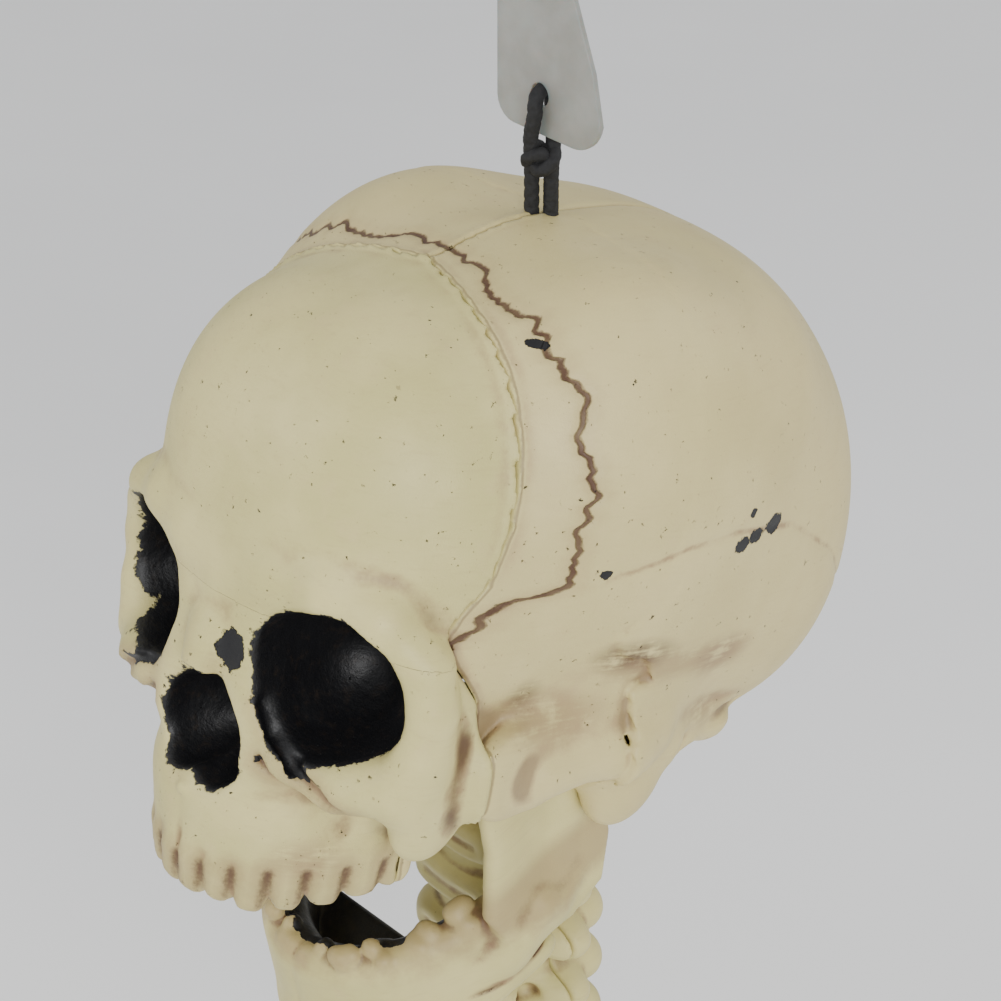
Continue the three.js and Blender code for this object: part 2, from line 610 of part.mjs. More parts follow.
// A plate with one upright edge and one that slants in to an eye at the top, drawn round its lower hole.
function hangTab() {
  const { left, right, bottom, shoulder, corner, eye, height, thickness } = TAB;
  const outline = new THREE.Shape();
  outline.moveTo(left + corner, bottom);
  outline.lineTo(right - 2 * corner, bottom);
  outline.quadraticCurveTo(right, bottom, right, shoulder - corner);
  outline.lineTo(right - corner / 2, shoulder);
  outline.lineTo(eye * 0.9, height - eye * 0.9);
  outline.absarc(0, height, eye, -Math.PI / 6, (7 * Math.PI) / 6, false);
  outline.lineTo(left, height - 2.2 * eye);
  outline.lineTo(left, bottom + corner);
  outline.quadraticCurveTo(left, bottom, left + corner, bottom);
  const hole = (y, radius) => new THREE.Path().absarc(0, y, radius, 0, 2 * Math.PI, true);
  outline.holes.push(hole(0, TAB_HOLE_RADIUS), hole(height, HANG_HOLE_RADIUS));
  return extruded(outline, thickness, 10).translate(0, 0, -thickness / 2).rotateX(Math.PI / 2);
}

// ---- assembly ------------------------------------------------------------------------------------------
const skeletonHead = new THREE.Group();

const neck = neckHalves();
skeletonHead.add(
  mesh("neck_base_plug", basePlug(), nylon),
  mesh("neck_front_shell", neck.front, bone),
  mesh("neck_rear_shell", neck.rear, bone),
  mesh("neck_swivel_post", swivelPost(), nylon),
);
for (const [name, z] of Object.entries(NECK_SCREW_HEIGHTS)) {
  skeletonHead.add(mesh(`neck_screw_${name}`, neckScrew(z), steel));
}

const head = new THREE.Group();
head.position.set(0, -EAR_FORWARD, EAR_HEIGHT);
head.rotation.x = -degToRad(HEAD_TILT);
skeletonHead.add(head);

const shells = skullShells();
head.add(
  mesh("face_shell", shells.face, bone),
  mesh("cranium_left_shell", shells.left, bone),
  mesh("cranium_right_shell", shells.right, bone),
  mesh("nod_yoke", nodYoke(), nylon),
  mesh("nod_pin", nodPinRod(), steel),
);

const pivot = new THREE.Group();
pivot.position.set(0, JAW_PIVOT.y, JAW_PIVOT.z);
for (const [name, side] of [["left", 1], ["right", -1]]) {
  pivot.add(mesh(`jaw_screw_${name}`, jawScrew(side), steel));
  pivot.add(mesh(`jaw_washer_${name}`, jawWasher(side), nylon));
}
const jawGroup = new THREE.Group();
jawGroup.rotation.x = degToRad(JAW_OPEN);
jawGroup.add(mesh("jaw", jaw(), bone));
pivot.add(jawGroup);
head.add(pivot);

const hanger = new THREE.Group();
hanger.position.copy(cordExit);
hanger.rotation.x = degToRad(HEAD_TILT);
hanger.add(
  mesh("hanging_cord", cordTube(CORD_RADIUS, 64), cordBlack),
  mesh("cord_knot", knotAt(TAB_HOLE_ABOVE_EXIT - KNOT.below, KNOT.half, KNOT.height), cordBlack),
  mesh("cord_stop_knot", knotAt(cordStart, STOP_KNOT.half, STOP_KNOT.height), cordBlack),
  mesh("cord_washer", cordWasher(), nylon),
);
const tab = mesh("hang_tab", solid(hangTab()), frosted);
tab.position.z = TAB_HOLE_ABOVE_EXIT;
hanger.add(tab);
head.add(hanger);

// The origin is moved from the neck's base to the tab's top hole.
const hangHole = new THREE.Vector3(0, 0, TAB_HOLE_ABOVE_EXIT + TAB.height);
skeletonHead.updateMatrixWorld(true);
skeletonHead.position.copy(hanger.localToWorld(hangHole)).negate();

export default skeletonHead;
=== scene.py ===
"""The looks of a hanging plastic skeleton head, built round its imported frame.

The skull, jaw and neck are sculpted as signed distance fields and meshed. Sculpting is done in
millimetres in the skull frame: origin midway between the ears, x to the skeleton's left, y back, z up.
"""

import math
import random

import bmesh
import bpy
import numpy as np
import openvdb
from bpy.props import FloatProperty, PointerProperty
from mathutils import Matrix, Vector


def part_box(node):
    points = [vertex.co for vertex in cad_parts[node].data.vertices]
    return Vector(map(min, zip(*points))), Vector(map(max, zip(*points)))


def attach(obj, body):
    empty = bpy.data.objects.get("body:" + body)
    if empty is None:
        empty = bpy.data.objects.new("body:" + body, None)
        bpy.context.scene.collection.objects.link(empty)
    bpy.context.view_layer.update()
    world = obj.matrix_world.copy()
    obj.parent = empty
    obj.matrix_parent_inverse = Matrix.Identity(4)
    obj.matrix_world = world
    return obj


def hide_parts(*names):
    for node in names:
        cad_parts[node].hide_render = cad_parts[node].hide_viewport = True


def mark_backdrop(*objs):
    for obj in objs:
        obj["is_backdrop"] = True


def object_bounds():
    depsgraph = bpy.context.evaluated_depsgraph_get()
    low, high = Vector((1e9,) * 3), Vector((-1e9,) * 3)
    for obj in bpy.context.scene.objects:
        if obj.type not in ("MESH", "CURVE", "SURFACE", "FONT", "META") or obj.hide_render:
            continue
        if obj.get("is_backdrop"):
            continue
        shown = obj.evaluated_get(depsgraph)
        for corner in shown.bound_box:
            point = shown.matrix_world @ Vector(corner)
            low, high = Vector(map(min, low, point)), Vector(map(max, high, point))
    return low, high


bl_info = {
    "name": "Hanging Skeleton Head",
    "blender": (4, 5, 0),
    "version": (1, 0, 0),
    "location": "3D View > Sidebar > Skeleton Head",
    "description": "Builds the sculpted, painted and hung looks of a posable skeleton head",
    "category": "Object",
}

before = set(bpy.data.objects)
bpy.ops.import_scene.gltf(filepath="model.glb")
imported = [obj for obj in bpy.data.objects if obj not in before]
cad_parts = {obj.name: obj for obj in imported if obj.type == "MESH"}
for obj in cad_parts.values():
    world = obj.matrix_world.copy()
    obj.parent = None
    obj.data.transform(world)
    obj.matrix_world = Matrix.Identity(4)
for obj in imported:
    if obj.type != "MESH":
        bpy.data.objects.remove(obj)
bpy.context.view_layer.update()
MM = 0.001

# ---- places taken from the frame --------------------------------------------------------------------
HEAD_TILT = math.radians(12.4)  # the face is tipped up this much at rest
JAW_PIVOT = (0.0, -12.0, -6.0)  # in the skull frame
JAW_OPEN = math.radians(30)
SEAM_Y = -39.0


def box_middle(node):
    low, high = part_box(node)
    return (Vector(low) + Vector(high)) / 2


pivot_place = (box_middle("jaw_screw_left") + box_middle("jaw_screw_right")) / 2
SKULL_TO_WORLD = (
    Matrix.Translation(pivot_place)
    @ Matrix.Rotation(-HEAD_TILT, 4, "X")
    @ Matrix.Scale(MM, 4)
    @ Matrix.Translation(-Vector(JAW_PIVOT))
)
JAW_TO_WORLD = (
    Matrix.Translation(pivot_place)
    @ Matrix.Rotation(JAW_OPEN - HEAD_TILT, 4, "X")
    @ Matrix.Scale(MM, 4)
)
EAR_PLACE = SKULL_TO_WORLD @ Vector((0, 0, 0))
NOD_PLACE = box_middle("nod_pin")
NECK_PLACE = Vector((0, box_middle("neck_base_plug").y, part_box("neck_base_plug")[0][2]))
NECK_TO_WORLD = Matrix.Translation(NECK_PLACE) @ Matrix.Scale(MM, 4)
NECK_START = 6.3
NECK_TOP = 116.0
NECK_LEVELS = 6
NECK_SCREWS = (34, 78)
JAW_SCREW_BORE = 2.8
TAB_HOLE = Vector((0, 0, -0.046))  # the cord's hole, below the hanging hole at the origin
TAB_HOLE_ABOVE_EXIT = 34


# ---- signed distance shapes: (low corner, high corner, distance function) ---------------------------
def turned(turn):
    """The matrix that takes places back from a turn about x, y and z, in degrees."""
    steps = [np.array(Matrix.Rotation(math.radians(a), 3, axis)) for a, axis in zip(turn, "XYZ")]
    return (steps[2] @ steps[1] @ steps[0]).T


def ellipsoid(centre, radii, turn=(0, 0, 0)):
    """An ellipsoid, turned about x, y and z by degrees."""
    reach = max(radii) if any(turn) else np.array(radii)
    rotate = turned(turn)

    def distance(x, y, z):
        dx, dy, dz = x - centre[0], y - centre[1], z - centre[2]
        local = [rotate[i][0] * dx + rotate[i][1] * dy + rotate[i][2] * dz for i in range(3)]
        near = np.sqrt(sum((c / r) ** 2 for c, r in zip(local, radii)))
        slope = np.sqrt(sum((c / r**2) ** 2 for c, r in zip(local, radii)))
        return near * (near - 1) / np.maximum(slope, 1e-4)

    return np.array(centre) - reach, np.array(centre) + reach, distance


def boxy(centre, radii, turn=(0, 0, 0), power=4, lower=None):
    """A superellipsoid, between an ellipsoid and a box. lower is its depth below the centre."""
    rotate = turned(turn)
    reach = max(*radii, lower or 0) * 1.25

    def distance(x, y, z):
        dx, dy, dz = x - centre[0], y - centre[1], z - centre[2]
        local = [rotate[i][0] * dx + rotate[i][1] * dy + rotate[i][2] * dz for i in range(3)]
        if lower:
            local[2] = np.where(local[2] < 0, local[2] * radii[2] / lower, local[2])
        near = sum(np.abs(c / r) ** power for c, r in zip(local, radii)) ** (1 / power)
        span = np.sqrt(sum(c**2 for c in local))
        return span * (1 - 1 / np.maximum(near, 1e-3))

    return np.array(centre) - reach, np.array(centre) + reach, distance


def capsule(start, end, start_radius, end_radius=None):
    end_radius = start_radius if end_radius is None else end_radius
    a, b = np.array(start, float), np.array(end, float)
    along = b - a
    length_squared = max(float(along @ along), 1e-6)
    reach = max(start_radius, end_radius)

    def distance(x, y, z):
        t = ((x - a[0]) * along[0] + (y - a[1]) * along[1] + (z - a[2]) * along[2]) / length_squared
        t = np.clip(t, 0, 1)
        gap = np.sqrt((x - a[0] - t * along[0]) ** 2 + (y - a[1] - t * along[1]) ** 2 + (z - a[2] - t * along[2]) ** 2)
        return gap - (start_radius + t * (end_radius - start_radius))

    return np.minimum(a, b) - reach, np.maximum(a, b) + reach, distance


def plate(profile, middle, half_thickness, corner=0.0):
    """A flat plate across x, with a (y, z) outline and corners rounded by corner."""
    outline = [np.array(p, float) for p in profile]

    def distance(x, y, z):
        nearest, inside = None, None
        for a, b in zip(outline, outline[1:] + outline[:1]):
            ey, ez = b - a
            wy, wz = y - a[0], z - a[1]
            t = np.clip((wy * ey + wz * ez) / (ey * ey + ez * ez), 0, 1)
            gap = (wy - t * ey) ** 2 + (wz - t * ez) ** 2
            above, below = (y * 0 + z) >= a[1], (y * 0 + z) < b[1]
            cross = ey * wz - ez * wy
            flips = (above & below & (cross > 0)) | (~above & ~below & (cross < 0))
            nearest = gap if nearest is None else np.minimum(nearest, gap)
            inside = flips if inside is None else inside ^ flips
        edge = np.sqrt(nearest) * np.where(inside, -1, 1) + corner
        side = np.abs(x - middle) - half_thickness + corner
        outward = np.sqrt(np.maximum(edge, 0) ** 2 + np.maximum(side, 0) ** 2)
        return outward + np.minimum(np.maximum(edge, side), 0) - corner

    low, high = np.min(outline, axis=0), np.max(outline, axis=0)
    return (
        np.array([middle - half_thickness, *low]),
        np.array([middle + half_thickness, *high]),
        distance,
    )


def across(radius, start, end, y, z):
    """A rod along x."""
    def distance(px, py, pz):
        round_gap = np.sqrt((py - y) ** 2 + (pz - z) ** 2) - radius
        return np.maximum(round_gap, np.abs(px - (start + end) / 2) - (end - start) / 2)

    return np.array([start, y - radius, z - radius]), np.array([end, y + radius, z + radius]), distance


class Field:
    """A grid of signed distances, negative inside, sampled every step millimetres."""

    def __init__(self, low, high, step):
        self.step = step
        self.axes = [np.arange(a, b + step, step, dtype=np.float32) for a, b in zip(low, high)]
        self.values = np.full([len(axis) for axis in self.axes], 40.0, np.float32)

    def window(self, low, high, margin):
        slices = []
        for axis, a, b in zip(self.axes, low, high):
            first = int(np.searchsorted(axis, a - margin))
            last = int(np.searchsorted(axis, b + margin))
            slices.append(slice(first, max(last, first)))
        x, y, z = (axis[part] for axis, part in zip(self.axes, slices))
        return tuple(slices), x[:, None, None], y[None, :, None], z[None, None, :]

    def add(self, shape, blend=0.0):
        low, high, distance = shape
        part, x, y, z = self.window(low, high, blend + 3)
        if 0 in self.values[part].shape:
            return
        self.values[part] = smooth_min(self.values[part], distance(x, y, z), blend)

    def carve(self, shape, blend=0.0):
        low, high, distance = shape
        part, x, y, z = self.window(low, high, blend + 3)
        if 0 in self.values[part].shape:
            return
        self.values[part] = -smooth_min(-self.values[part], distance(x, y, z), blend)

    def chain(self, points, radii, blend, carve=False):
        work = self.carve if carve else self.add
        for a, b, ra, rb in zip(points, points[1:], radii, radii[1:]):
            work(capsule(a, b, ra, rb), blend)

    def mirrored(self):
        """The field with its x >= 0 half repeated on the other side."""
        whole = Field.__new__(Field)
        whole.step = self.step
        whole.axes = [np.concatenate([-self.axes[0][:0:-1], self.axes[0]]), self.axes[1], self.axes[2]]
        whole.values = np.concatenate([self.values[:0:-1], self.values])
        return whole

    def copy(self, values=None):
        other = Field.__new__(Field)
        other.step, other.axes = self.step, self.axes
        other.values = self.values.copy() if values is None else values
        return other

    def grid(self):
        return self.axes[0][:, None, None], self.axes[1][None, :, None], self.axes[2][None, None, :]

    def blurred(self, radius):
        """The values averaged over a box twice along each axis, which is close to a smooth blur."""
        cells = max(1, round(radius / self.step))
        out = self.values
        for axis in (0, 1, 2):
            for _ in range(2):
                padded = np.pad(out, [(cells + 1, cells) if i == axis else (0, 0) for i in range(3)], mode="edge")
                total = np.cumsum(padded, axis=axis, dtype=np.float64)
                size = out.shape[axis]
                high = np.take(total, range(2 * cells + 1, 2 * cells + 1 + size), axis=axis)
                low = np.take(total, range(0, size), axis=axis)
                out = ((high - low) / (2 * cells + 1)).astype(np.float32)
        return out

    def sample(self, values, points):
        """Values read between grid points at places in millimetres."""
        place = [(points[:, i] - self.axes[i][0]) / self.step for i in range(3)]
        cell = [np.clip(p.astype(int), 0, n - 2) for p, n in zip(place, values.shape)]
        part = [p - c for p, c in zip(place, cell)]
        result = np.zeros(len(points))
        for i in (0, 1):
            for j in (0, 1):
                for k in (0, 1):
                    weight = (part[0] if i else 1 - part[0]) * (part[1] if j else 1 - part[1])
                    weight = weight * (part[2] if k else 1 - part[2])
                    result += weight * values[cell[0] + i, cell[1] + j, cell[2] + k]
        return result

    def surface(self):
        """Vertices in millimetres and quads of the surface where the distance is nought."""
        grid = openvdb.FloatGrid(background=3.0)
        grid.copyFromArray(np.clip(self.values / self.step, -3, 3))
        points, quads = grid.convertToQuads(0.0)
        corner = np.array([axis[0] for axis in self.axes])
        return points * self.step + corner, quads


def smooth_min(a, b, blend):
    if blend <= 0:
        return np.minimum(a, b)
    h = np.clip(0.5 + 0.5 * (b - a) / blend, 0, 1)
    return b * (1 - h) + a * h - blend * h * (1 - h)


# ---- the skull ---------------------------------------------------------------------------------------
FIELD_STEP = 1.15  # keeps each moulding under 200,000 triangles
ORBIT = boxy((36, -91, 17.5), (19.8, 31, 19.4), turn=(0, -16, 10), power=2.6)
ORBIT_BACK = ellipsoid((29, -74, 15), (14, 19, 15), turn=(0, -16, 22))
UPPER_ARCH = {"y": -50, "half_width": 32, "length": 43}


def arch_point(turn, arch, grow=0.0):
    return (
        (arch["half_width"] + grow) * math.sin(turn),
        arch["y"] - (arch["length"] + grow) * math.cos(turn),
    )


# The two lines round the braincase: y at each angle down from the top, round an axis at LINE_AXIS_Z
LINE_AXIS_Z = 50.0
FACE_SEAM = {0: -42, 8: -44, 22: -47, 36: -49.5, 52: -52, 76: -54.5, 92: -58, 100: -64, 106: -67,
             112: -64, 120: -56, 128: -52, 140: -52, 180: -50}
CORONAL_SUTURE = {0: -33, 14: -37, 24: -40, 40: -39, 56: -38, 70: -37, 85: -37.5, 92: -40,
                  97: -48, 103: -60, 108: -67, 112: -68}
SQUAMOUS_LINE = {-64: 22, -50: 34, -27: 51, -16: 54.5, -7: 57.5, 12: 58.5, 40: 54, 66: 40, 84: 22}


def line_gap(line, x, y, z):
    """How far a place is behind a line round the braincase."""
    angle = np.degrees(np.arctan2(np.abs(x), z - LINE_AXIS_Z))
    keys = sorted(line)
    middle = np.interp(angle, keys, [line[k] for k in keys])
    ahead = np.interp(angle + 2, keys, [line[k] for k in keys])
    span = np.sqrt(x**2 + (z - LINE_AXIS_Z) ** 2) * math.radians(2)
    return (y - middle) / np.sqrt(1 + ((ahead - middle) / np.maximum(span, 1)) ** 2)


def squamous_gap(x, y, z):
    keys = sorted(SQUAMOUS_LINE)
    height = z - np.interp(y, keys, [SQUAMOUS_LINE[k] for k in keys])
    return np.where((np.abs(x) > 35) & (y > -30), height, 40)


def skull_solid():
    """The head before its sockets and nose are hollowed."""
    half = Field((0, -114, -64), (80, 110, 132), FIELD_STEP)
    # braincase
    half.add(boxy((0, 8, 56), (70.5, 70, 66), power=2.6, lower=74))
    half.add(boxy((0, -40, 53), (57.5, 57.5, 56.5), power=2.4), 11)
    half.add(boxy((0, 50, 34), (64, 54.5, 74), power=2.1, lower=64), 10)
    half.add(ellipsoid((38, -6, 68), (34, 46, 51.5)), 12)
    half.add(ellipsoid((38, -8, 0), (27, 40, 24)), 12)
    # cheek plate, one broad smooth wall from the socket's rim to the ear
    half.add(boxy((0, -45, 24), (60, 50, 34), power=2.1), 8)
    half.add(boxy((50, -58, -4), (7.5, 17, 22), turn=(0, 0, 22), power=2.8), 9)
    half.add(boxy((57, -36, -6), (6, 20, 15), turn=(0, 0, 10), power=2.8), 9)
    half.chain([(60, -30, -8), (61, -6, -6), (58, 6, -4)], [8, 7, 7], 8)
    half.add(ellipsoid((50, -62, -21), (6, 9, 7), turn=(0, 0, 20)), 6)
    # rims of the sockets and bridge of the nose
    rim = [(0, -91, 36.5), (16, -90, 40.5), (31, -88, 42.5), (46, -82.5, 39), (56, -74, 29)]
    half.chain(rim, [5.5, 4.8, 4.5, 4.5, 4.5], 8)
    half.chain([(56, -74, 29), (58, -72, 18), (56, -72, 4), (52, -72, -6)], [4.5, 4, 4.5, 7], 9)
    half.chain([(17, -88, 4), (28, -87, -5), (40, -81, -8), (50, -74, -6)], [6, 6, 7, 7], 6)
    half.chain([(0, -86, 27), (0, -94, 17), (0, -98.5, 10)], [7.5, 6, 4.6], 6)
    half.chain([(12, -87, 26), (12, -88, 10), (16, -88, -8)], [6.5, 6.5, 7], 6)
    # upper jaw
    half.add(boxy((0, -64, -20), (31.5, 31, 25), power=2.5), 7)
    half.add(ellipsoid((35, -66, -5), (17, 19, 12)), 4)
    gum = [arch_point(math.radians(a), UPPER_ARCH, -4) for a in range(0, 100, 12)]
    half.chain([(x, y, -36) for x, y in gum], [7] * len(gum), 6)
    half.chain([(x * 0.98, y + 1, -27) for x, y in gum], [8.5] * len(gum), 6)
    # bumps behind the ears and the ridge under the back
    half.add(ellipsoid((52, 9, -17), (9, 13, 18), turn=(-12, 0, 0)), 5)
    half.chain([(56, 18, -10), (46, 44, -12), (22, 64, -10), (0, 70, -8)], [5, 6, 6, 6], 7)
    return half


def set_back_cranium(half):
    """The rear mouldings stand back from the face moulding's edge; a fine ridge follows the line."""
    x, y, z = half.grid()
    behind = line_gap(FACE_SEAM, x, y, z)
    depth = 0.3 + 2.2 * np.clip((40 - z) / 30, 0, 1) * np.clip((z + 34) / 12, 0, 1)
    half.values += depth * np.clip(behind / 2.0 + 0.5, 0, 1) * (behind < 45)
    half.values -= 0.9 * np.exp(-((behind / 1.3) ** 2)) * np.clip((z - 40) / 20, 0, 1)
    centre = np.exp(-((x / 1.4) ** 2)) * (behind > -1) * (y < 4) * (z > 60)
    half.values -= 0.9 * centre
    half.values += 0.5 * np.exp(-((x / 1.2) ** 2)) * (y >= 4) * (z > 30)
    coronal = line_gap(CORONAL_SUTURE, x, y, z) + wander(x, y, z)
    half.values += 0.8 * np.exp(-((coronal / 1.2) ** 2)) * (z > 25)
    half.values += 0.6 * np.exp(-((squamous_gap(x, y, z) / 1.4) ** 2)) * (y > -30)


def wander(x, y, z):
    """How far the coronal suture strays from its line, in a squiggle."""
    angle = np.degrees(np.arctan2(np.abs(x), z - LINE_AXIS_Z))
    return (
        1.1 * np.sin(angle * 0.33 + 0.6)
        + 0.75 * np.sin(angle * 0.8 + 2.4 * np.sin(angle * 0.17))
        + 0.4 * np.sin(angle * 1.9 + 2.1 * np.sin(angle * 0.29))
    )


def skull_neck_room(half):
    """Room in the skull's underside for the neck, its turning post and the jaw's arms."""
    into_skull = SKULL_TO_WORLD.inverted()
    pin = into_skull @ NOD_PLACE
    neck_top = into_skull @ Vector((0, NECK_PLACE.y, NECK_PLACE.z + (NECK_TOP + 4) * MM))
    far = into_skull @ Vector((0, NECK_PLACE.y, NECK_PLACE.z + 40 * MM))
    start = neck_top + (far - neck_top) * 0.3
    for degrees in (-15, -7.5, 0, 7.5, 15):
        swing = Matrix.Translation(pin) @ Matrix.Rotation(math.radians(degrees), 4, "X") @ Matrix.Translation(-pin)
        half.carve(capsule(tuple(pin), tuple(swing @ far), 18), 1)
        half.carve(capsule(tuple(swing @ start), tuple(swing @ far), 36), 2)
    y, z = JAW_PIVOT[1:]
    outline = [(11, 0), (0, 11), (-11, 8), (-33, 5), (-37, -14), (-44, -34), (-44, -60), (27, -60), (18, -10)]
    half.carve(plate([(y + a, z + b) for a, b in outline], 41.6, 6.2), 0.5)
    half.add(across(7, 47.8, 61, y, z), 2)


def sculpt_skull():
    """The outer surface of the whole head, and the solid before it was hollowed."""
    half = skull_solid()
    set_back_cranium(half)
    uncut = half.copy()
    carve_folds(half)
    carve_nose(half)
    add_upper_teeth(half)
    half.carve(boxy((0, -44, -50), (21, 36, 12), power=3), 3)
    half.carve(capsule((56, -6, -14), (66, -2, -13), 2.6), 2)
    half.carve(ORBIT, 2.5)
    half.carve(ORBIT_BACK, 4)
    return half, uncut


CREASES = (
    [(19, -91, 6), (23, -90.5, 0), (31, -90.5, -5), (40, -89.5, -10), (46, -84, -16)],
    [(22, -92, -8), (30, -89, -15), (37, -82, -22)],
)


def crease_gap(x, y, z):
    """How far a place is from the nearest crease or gap between upper teeth."""
    side = np.abs(x)
    paths = [*CREASES, *([tuple(a), tuple(b)] for a, b in tooth_gaps())]
    gaps = (capsule(a, b, 0)[2](side, y, z) for path in paths for a, b in zip(path, path[1:]))
    nearest = np.full(x.shape, 40.0)
    for gap in gaps:
        nearest = np.minimum(nearest, gap)
    return nearest


def tooth_gaps():
    """The lower and upper end of each gap between the upper teeth, on one side."""
    for number in range(7):
        x, y = arch_point(math.radians(13.4 * number), UPPER_ARCH, 4.6)
        yield (x, y, -58), (x * 0.98, y + 0.6, -45 + number)


def carve_folds(half):
    """The hollow under the cheekbone, between it and the upper jaw, and its creases."""
    half.carve(ellipsoid((40, -78, -26), (8, 13, 10), turn=(0, 20, 24)), 3)
    half.carve(ellipsoid((42, -66, -29), (6, 14, 8), turn=(0, 20, 24)), 4)
    for crease in CREASES:
        half.chain(crease, [1.8] * len(crease), 2, carve=True)
    half.chain([(57, 14, -12), (60, 32, -10), (48, 54, -9)], [1.6, 2.2, 1.4], 3, carve=True)


NOSE_HOLLOWS = (
    ellipsoid((0, -100, 0), (6, 22, 10)),
    ellipsoid((6.5, -96, -12), (7.5, 22, 10)),
    ellipsoid((4, -90, -8), (11, 16, 12)),
)


def carve_nose(half):
    for shape in NOSE_HOLLOWS:
        half.carve(shape, 3)
    half.chain([(0, -98, -25), (0, -84, -24)], [1.6, 3], 2)


def add_upper_teeth(half):
    for number in range(7):
        turn = math.radians(6.5 + number * 13.6)
        x, y = arch_point(turn, UPPER_ARCH)
        width = (4.8, 4.2, 4.5, 4.3, 4.6, 5.2, 5.0)[number]
        heading = math.degrees(math.atan2(UPPER_ARCH["length"] * math.sin(turn), UPPER_ARCH["half_width"] * math.cos(turn)))
        drop = (1, 1.5, 0.6, 2.4, 4, 6, 8)[number]
        half.add(boxy((x, y + 0.5, -46 + drop), (width, 4.4, 9.5), turn=(0, 0, heading), power=3.4), 1.2)
        half.chain([(x * 0.99, y - 0.8, -44), (x * 0.95, y + 1.5, -28)], [3.4, 2.2], 4)
    for low, high in tooth_gaps():
        half.carve(capsule(low, high, 1.7, 0.5), 0.8)


def jaw_outline(turn):
    """A place on the jaw's body at this angle from the chin: x, y, lower z and upper z."""
    x, y = JAW["half_width"] * math.sin(turn), JAW["y"] - JAW["length"] * math.cos(turn)
    rearward = 1 - math.cos(turn)
    low = JAW["chin_z"] + (JAW["angle_z"] - JAW["chin_z"]) * rearward**1.4
    high = JAW["front_z"] + (JAW["rear_z"] - JAW["front_z"]) * rearward
    return x, y, low, high


JAW = {"half_width": 41, "y": -10, "length": 62, "chin_z": -86, "angle_z": -56, "front_z": -52, "rear_z": -42}
RAMUS_OUTLINE = [(8, 0), (5.5, 6), (0, 8), (-6, 6), (-12, -11), (-19, -11), (-24, -2), (-28, 0),
                 (-31, -22), (-38, -42), (-34, -58), (-14, -64), (0, -60), (7, -46), (9, -28)]


def sculpt_jaw():
    half = Field((0, -88, -96), (54, 16, 14), 1.0)
    for degrees in range(0, 91, 5):
        x, y, low, high = jaw_outline(math.radians(degrees))
        half.add(capsule((x, y, low + 6), (x * 0.97, y + 1.5, high - 5), 6.2, 5.2), 5)
    half.add(plate(RAMUS_OUTLINE, 43.5, 2.9, 2.6), 2.5)
    half.chain([(43.5, 0, 0), (44, -6, -28), (43.5, -18, -54)], [4.5, 3.6, 4.4], 5)
    half.chain([(0, -74, -80), (10, -72, -82)], [6, 5], 7)
    shape = random.Random(4)
    for number in range(7):
        turn = math.radians(7 + number * 13.4)
        x, y, _, high = jaw_outline(turn)
        size = (3.6, 3.6, 3.9, 4.3, 4.6, 5.2, 5.2)[number]
        for _ in range(4):
            stray = [shape.uniform(-2.6, 2.6) for _ in range(3)]
            centre = (x * 0.97 + stray[0], y + 2 + stray[1], high + 0.6 + stray[2])
            radii = [size * shape.uniform(0.6, 1.0) for _ in range(3)]
            half.add(ellipsoid(centre, radii), 0.9)
    half.carve(ellipsoid((49, -13, -34), (3.4, 10, 15)), 4)
    half.chain([(47, -22, -50), (42, -34, -60), (32, -52, -70)], [2.4, 3.2, 2.4], 6)
    # A floor across the jaw's inside, which the jaw's marks paint black: painted shade for the dark inside of the
    # mouth, not a part of the real jaw
    web = boxy((0, -30, -72), (38, 40, 3), power=3.5)
    x, y, z = half.grid()
    half.values = smooth_min(half.values, np.maximum(web[2](x, y, z), y + 44), 3)
    half.add(boxy((37, -34, -70), (8, 16, 3), power=4), 2)
    half.carve(across(JAW_SCREW_BORE, 30, 60, 0, 0), 0)
    return half


def sculpt_neck():
    """The stacked neck bones, from the neck's base up, as one hollow body."""
    half = Field((0, -34, 4), (36, 44, 120), 1.0)
    pitch = (NECK_TOP - NECK_START) / NECK_LEVELS
    half.add(capsule((0, 0, NECK_START + 16), (0, 0, NECK_TOP - 16), 19.5), 0)
    shape = random.Random(9)
    for level in range(NECK_LEVELS):
        z = NECK_START + (level + 0.47) * pitch
        top = level == NECK_LEVELS - 1
        half.add(boxy((0, -3, z), (21, 21, pitch * 0.4), power=3.2), 2)
        half.add(ellipsoid((17, 2, z + 1), (12, 9, pitch * 0.36), turn=(0, 12, 0)), 3)
        half.add(ellipsoid((23, 3, z - 1), (7.5, 6, 5), turn=(0, -20, 0)), 3)
        half.add(ellipsoid((13, 15, z), (9, 8, pitch * 0.42)), 3)
        reach = 5 if top else 11 + shape.uniform(0, 2)
        half.add(capsule((0, 18, z + 1), (0, 22 + reach * 0.6, z - 3), 6, 4.2), 4)
        half.carve(ellipsoid((19, -9, z + 1), (4, 4, 3.4)), 2.5)
        half.carve(capsule((10, -24, z), (0, -25, z), 2.2), 3)
    x, y, z = half.grid()
    bore = np.maximum(np.sqrt(x**2 + y**2) - 15, z - (NECK_TOP - 8))
    half.values = np.maximum(half.values, -bore)
    half.values = np.maximum(half.values, -(np.sqrt(x**2 + y**2) - 7.4 + 0 * z))
    half.values = np.maximum(half.values, np.maximum(z - NECK_TOP, NECK_START - z) + 0 * x + 0 * y)
    for height in NECK_SCREWS:
        ring = np.sqrt(x**2 + (z - height) ** 2) + 0 * y
        half.values = np.maximum(half.values, -np.maximum(ring - 4.2, 17.4 - y))
    return half


